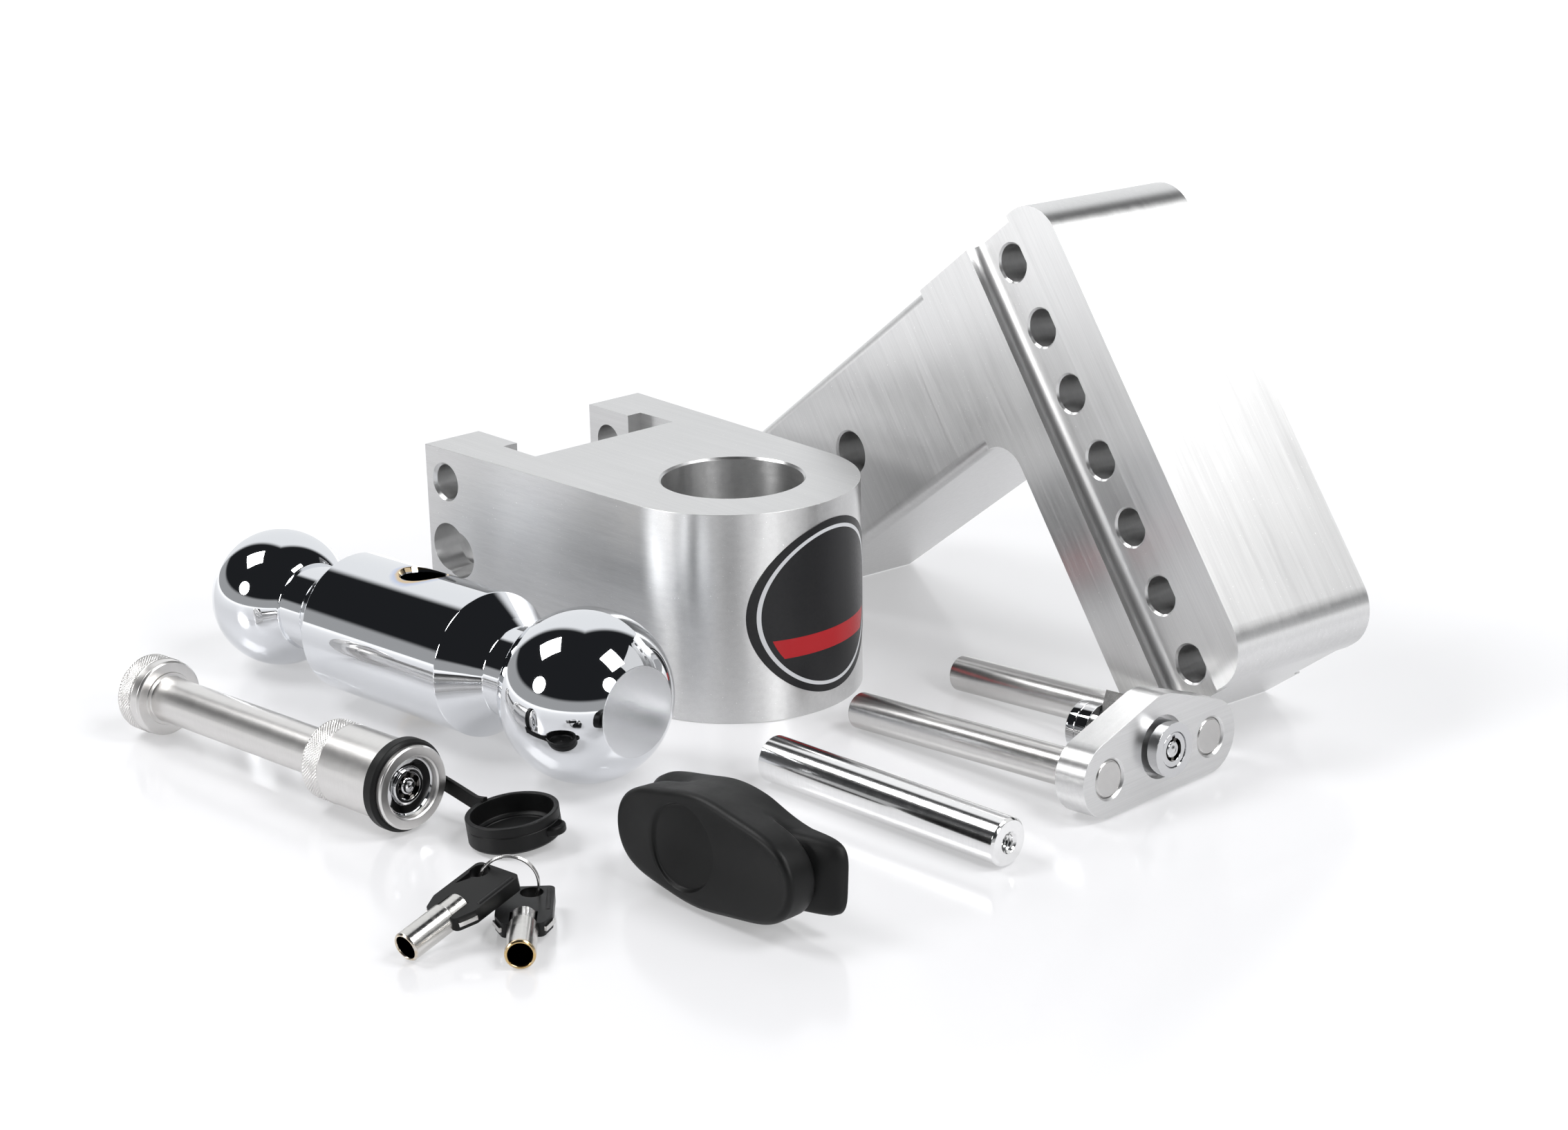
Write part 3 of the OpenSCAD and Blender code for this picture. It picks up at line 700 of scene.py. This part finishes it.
# ---------------------------------------------------------------- dual-pin lock
def plate_edge(middle):
    """A wide bevel round the plate's front rim, a fine one round its holes and everywhere else."""
    holes = [Vector(at) for at in ((0, 0), (PIN_PITCH, 0), (27, 5))]
    at_rim = min((middle.yz - hole).length for hole in holes) > 12
    return 0.9 if abs(middle.x) < 0.05 and at_rim else 0.3


machined("lock_plate", PLATE, "dual_pin_lock", "brushed_aluminium", ALUMINIUM_Y, plate_edge)


def locking_pin(name, y):
    radius, length, plate, chamfer, sunk = 6.35, 113.5, 12.0, 1.2, 0.35
    path = [(-length, 0), (-length, 4), (-length, radius - chamfer, 0.4), (-length + chamfer, radius, 0.4),
            (-length / 2, radius), (-plate, radius), (-1.1, radius, 0.2), (-sunk, radius - 0.7, 0.3),
            (-sunk, 3), (-sunk, 0)]
    add_piece(name + "_turned", turned(rounded(path), 72), along(PLATE, 0, y), "dual_pin_lock", "worn_steel",
              WORN, [name])


locking_pin("locking_pin_near", 0)
locking_pin("locking_pin_far", PIN_PITCH)


def tube_lock_plug(node, matrix, body, front, back, slot_in, slot_out):
    """A tubular lock's plug: its key slot, the domed post in the middle, and the notch at its top."""
    post, outer, bottom = 2.3, 6.0, front - 4.8
    path = [(back, 0), (back, outer), (front - 0.4, outer, 0.2), (front, outer - 0.4, 0.2),
            (front, slot_out, 0.15), (bottom, slot_out), (bottom, slot_in), (front - 0.5, slot_in, 0.3),
            (front - 0.2, post, 0.3), (front - 0.2, 1.5), (front + 0.05, 1.0), (front + 0.25, 0.5),
            (front + 0.3, 0)]
    obj = add_piece(node + "_turned", turned(rounded(path), 72), matrix, body, "lock_chrome", LOCK_CHROME,
                    [node])
    notch = bmesh.new()
    bmesh.ops.create_cube(notch, size=1, matrix=Matrix.Translation((front, 0, slot_out + 0.3)) @
                          Matrix.Diagonal((3.0, 1.5, 1.8, 1)))
    cut(obj, notch, matrix)


machined("plate_lock_housing", PLATE_LOCK, "dual_pin_lock", "nickel_plate", LOCK_CHROME, 0.45)
tube_lock_plug("plate_lock_plug", PLATE_LOCK, "plate_lock_cylinder", 4.7, -20.0, 2.75, 3.8)
machined("plate_lock_cam", PLATE_LOCK, "plate_lock_cylinder", "worn_steel", WORN, 0.4)
machined("plate_lock_cam_screw", PLATE_LOCK, "plate_lock_cylinder", "worn_steel", WORN, 0.35)
machined("plate_lock_end_cap", PLATE_LOCK, "dual_pin_lock", "nickel_plate", LOCK_CHROME, 0.5)


# ---------------------------------------------------------------- receiver pin and its lock
BARREL_R = 13.5
SHAFT_R = 7.94
LOCK_X, LOCK_END = 89.5, 130.0
KNURL_PITCH, KNURL_DEPTH = 1.15, 0.42


def receiver_pin():
    head, tip, groove = 11.9, LOCK_X + 19, LOCK_X + 10
    band = (-head + 0.9, -4.2)
    path = [(-head, 0), (-head, 9), (-head, BARREL_R - 0.9, 0.4), (band[0], BARREL_R, 0.3)]
    path += [(x, BARREL_R) for x in steps_between(band[0] + 0.2, band[1], 0.2)]
    path += [(band[1] + 0.15, BARREL_R - 0.25), (-0.7, BARREL_R - 0.25, 0.3), (0, BARREL_R - 0.95, 0.3),
             (0, 9.4), (0.35, 9.2), (0.35, SHAFT_R, 0.35), (4, SHAFT_R), (40, SHAFT_R), (80, SHAFT_R)]
    path += [(groove - 1.8, SHAFT_R), (groove - 1.2, 6.6), (groove, 6.0), (groove + 1.2, 6.6),
             (groove + 1.8, SHAFT_R), (tip - 1, SHAFT_R, 0.4), (tip, SHAFT_R - 1, 0.3), (tip, 0)]
    relief = knurl(band[0], band[1], KNURL_PITCH, BARREL_R, KNURL_DEPTH)
    add_piece("receiver_pin_turned", turned(rounded(path), 432, relief), PIN, "receiver_pin",
              "satin_stainless", STAINLESS, ["receiver_pin"], 60)


receiver_pin()


def lock_shell():
    band = (LOCK_X + 0.8, LOCK_X + 8.6)
    rubber = LOCK_END - 7.3
    path = [(LOCK_X + 3, SHAFT_R + 0.1), (LOCK_X, SHAFT_R + 0.1), (LOCK_X, BARREL_R - 0.8, 0.3),
            (band[0], BARREL_R, 0.2)]
    path += [(x, BARREL_R) for x in steps_between(band[0] + 0.2, band[1], 0.2)]
    path += [(band[1] + 0.15, BARREL_R - 0.12), (rubber - 0.6, BARREL_R - 0.1, 0.3), (rubber, BARREL_R - 0.7),
             (rubber, 12.6), (LOCK_END - 2.3, 12.6), (LOCK_END - 2.3, 10.7), (LOCK_X + 3, 10.7),
             (LOCK_X + 3, SHAFT_R + 0.1)]
    relief = knurl(band[0], band[1], KNURL_PITCH, BARREL_R, KNURL_DEPTH)
    bm = turned(rounded(path), 432, relief)
    bmesh.ops.remove_doubles(bm, verts=bm.verts, dist=WELD)
    add_piece("lock_head_shell_turned", bm, PIN, "receiver_lock", "satin_stainless", STAINLESS,
              ["lock_head_shell"], 60)


lock_shell()


def lock_end_ring():
    out, face = BARREL_R + 0.3, 10.05
    path = [(LOCK_END - 6, face), (LOCK_END - 6, 10.6), (LOCK_END - 2.25, 10.6), (LOCK_END - 2.25, out - 0.2),
            (LOCK_END - 0.5, out, 0.2), (LOCK_END, out - 0.5, 0.2), (LOCK_END, face + 0.6, 0.3),
            (LOCK_END - 0.5, face, 0.2), (LOCK_END - 6, face)]
    bm = turned(rounded(path), 128)
    bmesh.ops.remove_doubles(bm, verts=bm.verts, dist=WELD)
    add_piece("lock_head_end_ring_turned", bm, PIN, "receiver_lock", "satin_stainless", STAINLESS,
              ["lock_head_end_ring"])


lock_end_ring()


def lock_cylinder():
    """The chromed face round the plug: dished from its rim down to the plug."""
    back, face = LOCK_X + 22.1, LOCK_END - 2
    path = [(back, 0), (back, 10), (face - 0.3, 10, 0.2), (face, 9.6, 0.3), (face - 0.5, 9.0, 0.4),
            (face - 1.0, 7.4), (face - 1.1, 6.4, 0.2), (face - 1.5, 6.04), (back + 2, 6.04), (back + 2, 0)]
    add_piece("lock_head_cylinder_turned", turned(rounded(path), 128), PIN, "receiver_lock", "lock_chrome",
              LOCK_CHROME, ["lock_head_cylinder"])


lock_cylinder()
tube_lock_plug("lock_head_plug", PIN, "receiver_lock_plug", LOCK_END - 2.2, LOCK_X + 24.2, 2.8, 4.5)


# ---------------------------------------------------------------- rubber ring, strap and dust cap
def cap_ring():
    lo, hi, inner, outer = LOCK_END - 7.26, LOCK_END - 2.34, 12.66, 15.3
    path = [(lo, inner), (lo, outer - 0.9, 0.3), (lo + 0.8, outer, 0.6), (hi - 0.8, outer, 0.6),
            (hi, outer - 0.9, 0.3), (hi, inner), (lo, inner)]
    bm = turned(rounded(path), 128)
    bmesh.ops.remove_doubles(bm, verts=bm.verts, dist=WELD)
    add_piece("cap_ring_moulded", bm, PIN, "receiver_lock", "black_rubber", RUBBER, ["cap_ring"])


cap_ring()


def moulded_cap():
    """The cap lies mouth up: rounded rims, a fine groove in its floor and a pull tab."""
    outer, high, wall, floor = CAP_R, 9.0, 1.7, 2.0
    path = [(0.35, 0), (0.35, 9), (0, 9.6, 0.2), (0, outer - 0.9, 0.6), (0.9, outer - 0.05, 0.6),
            (high - 3.4, outer - 0.05, 0.2), (high - 3.1, outer - 0.35, 0.2), (high - 2.8, outer - 0.05, 0.2),
            (high, outer, 0.35), (high, outer - wall, 0.35), (high - 1.2, outer - wall - 0.15),
            (floor + 0.7, outer - wall - 0.2, 0.6), (floor, outer - wall - 1.2, 0.3), (floor, 11.2, 0.1),
            (floor - 0.25, 11.0), (floor - 0.25, 10.4), (floor, 10.2, 0.1), (floor, 1.4, 0.3),
            (floor + 0.3, 0.8, 0.2), (floor + 0.3, 0)]
    add_piece("dust_cap_moulded", turned(rounded(path), 128), CAP, "dust_cap", "black_rubber", RUBBER,
              ["dust_cap"])
    tab_angle, reach = math.radians(25), outer - 1
    tab = turned(rounded([(2.5, 0), (2.5, 3.9, 0.6), (3.0, 4.3, 0.6), (5.0, 4.3, 0.9), (5.5, 3.4, 0.6),
                          (5.1, 2.2, 0.5), (5.1, 0)]), 64)
    add_piece("dust_cap_tab", tab, along(CAP, 0, math.sin(tab_angle) * reach, math.cos(tab_angle) * reach),
              "dust_cap", "black_rubber", RUBBER)


moulded_cap()


def bezier(points, count):
    """Points along one cubic curve."""
    a, b, c, d = (Vector(p) for p in points)
    out = []
    for i in range(count + 1):
        t = i / count
        out.append(a * (1 - t) ** 3 + b * 3 * t * (1 - t) ** 2 + c * 3 * t * t * (1 - t) + d * t ** 3)
    return out


def sweep(points, sections, side=None):
    """Skins a section, a list of (side, up) offsets, along points. sections(i) gives the one at point i.

    Without side, the direction that the section's first offset runs in, it is level.
    """
    bm, rings, last = bmesh.new(), [], len(points) - 1
    for i, p in enumerate(points):
        way = (points[min(i + 1, last)] - points[max(i - 1, 0)]).normalized()
        across = side or UP.cross(way).normalized()
        up = way.cross(across).normalized()
        rings.append([bm.verts.new(p + across * a + up * b) for a, b in sections(i)])
    for p, q in zip(rings, rings[1:]):
        for k in range(len(p)):
            n = (k + 1) % len(p)
            bm.faces.new((p[k], p[n], q[n], q[k]))
    bm.faces.new(rings[0])
    bm.faces.new(rings[-1])
    return bm


def oblong(half_w, half_h, corner):
    """A rounded rectangle section."""
    out, steps = [], 3
    for sx, sy, a0 in ((1, 1, 0), (-1, 1, 90), (-1, -1, 180), (1, -1, 270)):
        for k in range(steps + 1):
            a = math.radians(a0 + 90 * k / steps)
            out.append((sx * (half_w - corner) + corner * math.cos(a),
                        sy * (half_h - corner) + corner * math.sin(a)))
    return out


def strap():
    """The strap from the ring to the cap, in world axes: one fixed curve from the swing's hinge to the cap's rim.
    """
    root, steps, half_thick, half_wide = joint_at("dust_cap_swing") / MM, 24, 0.9, 2.6
    rim = Vector((CAP_AT.x / MM, CAP_AT.y / MM, 7.2))
    out = (rim - root).normalized()
    end = rim - Vector((out.x, out.y, 0)).normalized() * 14.4
    path = bezier([root - out * 2.6 + UP * 0.6, root + out * 4 + UP * 0.4, end - out * 6 + UP * 0.3, end],
                  steps)

    def section(i):
        t = i / steps
        flare = 1 + 0.5 * max(0, t - 0.8) / 0.2 + 0.25 * max(0, 0.12 - t) / 0.12
        return oblong(half_thick, half_wide * flare, 0.6)
    bm = sweep(path, section)
    add_piece("cap_strap", bm, Matrix.Identity(4),
              lambda obj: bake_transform(obj), "black_rubber", RUBBER)


strap()


# ---------------------------------------------------------------- rubber cover
def hull_outline(half_l, end_r, mid_r, count):
    """The outline round two end circles and one in the middle, in even steps, with its corners eased."""
    circles = [(Vector((-half_l, 0)), end_r), (Vector((half_l, 0)), end_r), (Vector(COVER_MID), mid_r)]
    fine, eased_over, raw = 720, 8, []
    for k in range(fine):
        a = 2 * math.pi * k / fine
        way = Vector((math.cos(a), math.sin(a)))
        c, r = max(circles, key=lambda q: q[0].dot(way) + q[1])
        raw.append(c + way * r)
    lengths = [(raw[(i + 1) % fine] - raw[i]).length for i in range(fine)]
    total, out, i, gone = sum(lengths), [], 0, 0.0
    for k in range(count):
        want = total * k / count
        while gone + lengths[i] < want:
            gone += lengths[i]
            i += 1
        out.append(raw[i].lerp(raw[(i + 1) % fine], (want - gone) / max(lengths[i], 1e-9)))
    reach = round(count * eased_over / total)
    return [sum((out[(k + j) % count] for j in range(-reach, reach + 1)), Vector((0, 0))) / (2 * reach + 1)
            for k in range(count)]


def smooth_step(t):
    t = max(0.0, min(1.0, t))
    return t * t * (3 - 2 * t)


def rubber_cover():
    """A hollow boot: a dish in its face, a rounded rim, a waist at its ends, and lips that flare out."""
    half_l, end_r, depth, count = PIN_PITCH / 2, 14.0, COVER_DEPTH, 192
    dish_at, dish_r = Vector((-7.5, 0.4)), 13.4
    rim, flare = 2.6, 3.6
    bm = bmesh.new()

    def add_ring(points):
        return [bm.verts.new(p) for p in points]

    def face_height(p):
        """The face sinks towards its left end, and a little in its middle."""
        return -0.9 * smooth_step((-p.x - 16) / 24) - 0.5 * smooth_step(1 - abs(p.y) / 12)

    def outline(inset):
        return hull_outline(half_l, end_r - inset, COVER_MID_R - inset, count)

    def side_ring(inset, z, lip=0.0, waist=0.0):
        """One ring of the side. lip, 0 to 1, squares the right end off and spreads both ends."""
        row = []
        for p in outline(inset):
            end = smooth_step((abs(p.x) - 14) / 14)
            x, y = p.x - math.copysign(waist * end, p.x), p.y * (1 - waist * end / end_r)
            if p.x > half_l:
                a = math.atan2(abs(p.y), p.x - half_l)
                r = end_r - inset
                x += (half_l + r * math.cos(a) ** 0.45 - p.x) * lip
                y += (math.copysign(r * math.sin(a) ** 0.45, p.y) - p.y) * lip
            y *= 1 - 0.14 * lip * smooth_step((p.x - 8) / 16)
            x += math.copysign(smooth_step((abs(p.x) - 12) / 24) * lip * flare, p.x)
            row.append((x, y, z))
        return add_ring(row)

    edge = outline(3.2)
    rays = [(p - dish_at).normalized() for p in edge]
    rows = []
    for r in steps_between(0.6, dish_r - 0.5, 0.9) + [dish_r - 0.2, dish_r, dish_r + 0.35]:
        row = []
        for ray in rays:
            p = dish_at + ray * r
            sunk = 0.7 + 1.5 * smooth_step(0.5 + 0.5 * ray.x * r / dish_r)
            fade = 1 - smooth_step((r - dish_r + 0.5) / 0.85)
            row.append((p.x, p.y, face_height(p) - sunk * fade))
        rows.append(add_ring(row))
    for k in range(1, 9):
        row = [(dish_at + ray * (dish_r + 0.35)).lerp(p, k / 8) for ray, p in zip(rays, edge)]
        rows.append(add_ring([(p.x, p.y, face_height(p)) for p in row]))
    for k in range(1, 7):
        a = math.pi / 2 * k / 6
        drop, inset = -rim * (1 - math.cos(a)), rim * (1 - math.sin(a))
        rows.append(add_ring([(p.x, p.y, face_height(p) * math.cos(a) + drop) for p in outline(inset)]))
    outside = ((0.05, -5, 0, 0), (0.15, -8, 0, 0), (0.2, -10.4, 0, 0.1), (0.2, -11.2, 0, 0.5),
               (0.2, -11.9, 0, 1.6), (0.2, -12.6, 0, 2.0), (0.2, -13.5, 0.2, 1.6), (0.2, -14.6, 0.45, 0.9),
               (0.15, -16, 0.75, 0.4), (0.05, -17.6, 0.95, 0), (0.0, -depth + 0.6, 1, 0),
               (0.15, -depth + 0.15, 1, 0), (0.5, -depth, 1, 0), (1.5, -depth, 1, 0))
    inside = ((1.9, -depth + 0.4, 1, 0), (2.1, -depth + 3, 0.7, 0), (2.1, -depth + 6, 0.1, 2.0),
              (2.1, -8, 0, 0), (2.4, -5.4, 0, 0), (3.4, -5.0, 0, 0), (6, -4.9, 0, 0), (9.5, -4.9, 0, 0),
              (13.0, -4.9, 0, 0))
    for inset, z, lip, waist in outside + inside:
        rows.append(side_ring(inset, z, lip, waist))
    for p, q in zip(rows, rows[1:]):
        for k in range(count):
            n = (k + 1) % count
            bm.faces.new((p[k], p[n], q[n], q[k]))
    for row in (rows[0], rows[-1]):
        middle = bm.verts.new(sum((v.co for v in row), Vector()) / count)
        for k in range(count):
            bm.faces.new((row[k], row[(k + 1) % count], middle))
    add_piece("rubber_cover_moulded", bm, COVER, "rubber_cover", "black_rubber", RUBBER, ["rubber_cover"], 50)


rubber_cover()


# ---------------------------------------------------------------- keys on their ring
def key(index, matrix, body):
    """One tubular key: a plated tube with a brassy mouth, and a moulded head."""
    radius, bore, deep, back = 4.6, KEY_BORE, 15, 24
    lo = 0.98 if index == 1 else 0.02
    path = [(deep, 0), (deep, bore, 0.4), (lo + 0.5, bore), (lo, bore + 0.3, 0.2), (lo, radius - 0.45, 0.2),
            (lo + 0.5, radius, 0.2), (17, radius, 0.2), (17.6, radius - 0.5), (back, radius - 0.5, 0.3),
            (back, 0)]
    add_piece("key_%d_tube_turned" % index, turned(rounded(path), 72), matrix, body, "nickel_plate",
              KEY_PLATE, ["key_%d_tube" % index], 40)
    head = machined("key_%d_head" % index, matrix, body, "black_plastic", PLASTIC, 0.7)
    if index == 1:
        recess, floor, above = bmesh.new(), 1.2, 4.0
        corners = [(29.5, 7.0), (38.6, 7.0), (38.6, 1.6)]
        low = [recess.verts.new((x, y, floor)) for x, y in corners]
        high = [recess.verts.new((x, y, above)) for x, y in corners]
        recess.faces.new(low)
        recess.faces.new(high)
        for k in range(3):
            n = (k + 1) % 3
            recess.faces.new((low[k], low[n], high[n], high[k]))
        cut(head, recess, matrix)
    bead = turned(rounded([(0, 0), (0, 1.5, 0.9), (15.5, 1.5, 0.9), (15.5, 0)]), 40)
    add_piece("key_%d_rim" % index, bead, along(matrix, 24.6, -7.0, 0.95), body, "black_plastic", PLASTIC)
    for side in (-1, 1):
        blade = bmesh.new()
        slope = math.atan2(2.5 * side, 6)
        middle = Matrix.Translation((19.4, side * 7.6, 0)) @ Matrix.Rotation(slope, 4, "Z")
        bmesh.ops.create_cube(blade, size=1, matrix=middle @ Matrix.Diagonal((6.0, 1.2, 1.5, 1)))
        bmesh.ops.bevel(blade, geom=blade.edges[:], offset=0.2, segments=2, affect="EDGES", profile=0.5)
        add_piece("key_%d_blade_%s" % (index, "left" if side > 0 else "right"), blade, matrix, body,
                  "nickel_plate", NICKEL)


key(1, KEY_1, "key_1")
key(2, KEY_2, "key_2")


def split_ring():
    """Two turns of round wire, side by side, crossing where its ends are."""
    lo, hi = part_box("split_ring")
    centre = (lo + hi) / 2 / MM
    mean, wire, turns, per_turn, sides = 8.9, 0.42, 2, 96, 10
    points = []
    for k in range(turns * per_turn + 1):
        a = 2 * math.pi * k / per_turn + math.radians(100)
        t = k / (turns * per_turn)
        shift = (smooth_step((t - 0.44) / 0.12) - 0.5) * 2 * wire
        points.append(centre + Vector((mean * math.cos(a), shift, mean * math.sin(a))))
    angles = [2 * math.pi * k / sides for k in range(sides)]
    section = [(wire * math.cos(a), wire * math.sin(a)) for a in angles]
    bm = sweep(points, lambda i: section, Vector((0, 1, 0)))
    add_piece("split_ring_wire", bm, Matrix.Identity(4), "split_ring", "nickel_plate", NICKEL, ["split_ring"])


split_ring()


# ---------------------------------------------------------------- CAD nodes that stay
def dress(node, material):
    obj = frame["nodes"][node]
    obj.data.materials.clear()
    obj.data.materials.append(material)


for name in ("plate_lock_tumblers", "lock_head_tumblers"):
    dress(name, LOCK_PINS)
dress("lock_head_core", WORN)
dress("lock_head_balls", POLISHED)


# ---------------------------------------------------------------- floor, lights, camera
def floor():
    """A wide pale floor a hair below the pieces. It glows with painted light that grows with distance from the
    middle, so it turns white towards the horizon.
    """
    bm, half_size, gap = bmesh.new(), 6.0, 0.0002
    bmesh.ops.create_grid(bm, x_segments=1, y_segments=1, size=half_size)
    mesh = bpy.data.meshes.new("studio_floor")
    bm.to_mesh(mesh)
    bm.free()
    obj = bpy.data.objects.new("studio_floor", mesh)
    bpy.context.scene.collection.objects.link(obj)
    obj.location.z = -gap
    n = Nodes("studio_floor")
    distance = n.add("ShaderNodeVectorMath", {0: n.add("ShaderNodeTexCoord").outputs["Object"]},
                     operation="LENGTH").outputs["Value"]
    # Painted light: the floor's glow is weak near the pieces and strong far off, standing in for the studio
    # lights' spread.
    n.set(Base_Color=(0.50, 0.50, 0.515, 1), Roughness=0.16, Emission_Color=(1, 1, 1, 1),
          Emission_Strength=n.remap(distance, 0.25, 1.2, 0.34, 0.95))
    mesh.materials.append(n.material)


floor()


bpy.context.scene.view_settings.view_transform = "Standard"
CENTRE = Vector((0, 0, 0.05))


def studio_light(name, way, distance, size, power, shape="SQUARE"):
    """An area light seen from the middle of the layout in the direction way, and turned to face it."""
    data = bpy.data.lights.new(name, "AREA")
    data.shape = shape
    if shape == "RECTANGLE":
        data.size, data.size_y = size
    else:
        data.size = size
    data.energy = power
    obj = bpy.data.objects.new(name, data)
    bpy.context.scene.collection.objects.link(obj)
    obj.location = CENTRE + Vector(way).normalized() * distance
    obj.rotation_euler = (CENTRE - obj.location).to_track_quat("-Z", "Y").to_euler()


studio_light("softbox_left", (-0.59, 0.08, 0.79), 1.6, 0.62, 13)
studio_light("softbox_right", (0.54, -0.27, 0.81), 1.6, 0.62, 13)
studio_light("umbrella_left", (-0.84, -0.41, 0.355), 2.0, 0.62, 12, "DISK")
studio_light("umbrella_right", (0.54, -0.70, 0.47), 2.0, 0.62, 12, "DISK")
studio_light("side_softbox", (0.85, 0.05, 0.52), 1.9, (1.3, 0.9), 3, "RECTANGLE")


def studio_world():
    """A dark room above and in front, a bright backdrop behind, and a pale wall low down all round."""
    made = bpy.data.worlds.new("studio")
    made.use_nodes = True
    tree = made.node_tree
    xyz = tree.nodes.new("ShaderNodeSeparateXYZ")
    tree.links.new(tree.nodes.new("ShaderNodeTexCoord").outputs["Generated"], xyz.inputs[0])

    def step(op, a, b):
        node = tree.nodes.new("ShaderNodeMath")
        node.operation = op
        for socket, value in zip(node.inputs, (a, b)):
            if isinstance(value, bpy.types.NodeSocket):
                tree.links.new(value, socket)
            else:
                socket.default_value = value
        return node.outputs[0]

    def ramp(value, dark, bright):
        node = tree.nodes.new("ShaderNodeMapRange")
        node.interpolation_type = "SMOOTHSTEP"
        node.inputs["From Min"].default_value = dark
        node.inputs["From Max"].default_value = bright
        tree.links.new(value, node.inputs["Value"])
        return node.outputs[0]
    wide = step("MULTIPLY", step("ABSOLUTE", xyz.outputs[0], 0), 0.6)
    backdrop = ramp(step("SUBTRACT", xyz.outputs[1], wide), 0.26, 0.42)
    low_wall = step("MULTIPLY", ramp(step("SUBTRACT", 0.0, xyz.outputs[2]), -0.26, -0.18), 0.4)
    mix = tree.nodes.new("ShaderNodeMix")
    mix.data_type = "RGBA"
    mix.inputs[6].default_value = (0.016, 0.017, 0.019, 1)
    mix.inputs[7].default_value = (0.98, 0.99, 1.0, 1)
    tree.links.new(step("MAXIMUM", backdrop, low_wall), mix.inputs["Factor"])
    tree.links.new(mix.outputs[2], tree.nodes["Background"].inputs["Color"])
    tree.nodes["Background"].inputs["Strength"].default_value = 1.0
    return made


bpy.context.scene.world = studio_world()

CAMERA_AT = (0.01666, -0.90345, 0.35551)
CAMERA_RIGHT, CAMERA_UP = (0.99982, -0.00595, -0.01789), (0.01885, 0.31543, 0.94877)
CAMERA_LENS, CAMERA_SENSOR = 63.23, 36


def place_camera():
    data = bpy.data.cameras.new("photo_view")
    data.sensor_width = CAMERA_SENSOR
    data.lens = CAMERA_LENS
    data.clip_start = 0.01
    camera = bpy.data.objects.new("photo_view", data)
    bpy.context.scene.collection.objects.link(camera)
    camera.matrix_world = tilted(CAMERA_RIGHT, CAMERA_UP, CAMERA_AT)
    bpy.context.scene.camera = camera


place_camera()


for made in PIECES:
    settle(*made)


# ---------------------------------------------------------------- sizes, and the end
def corners(box):
    return [list(box[0]), list(box[1])]
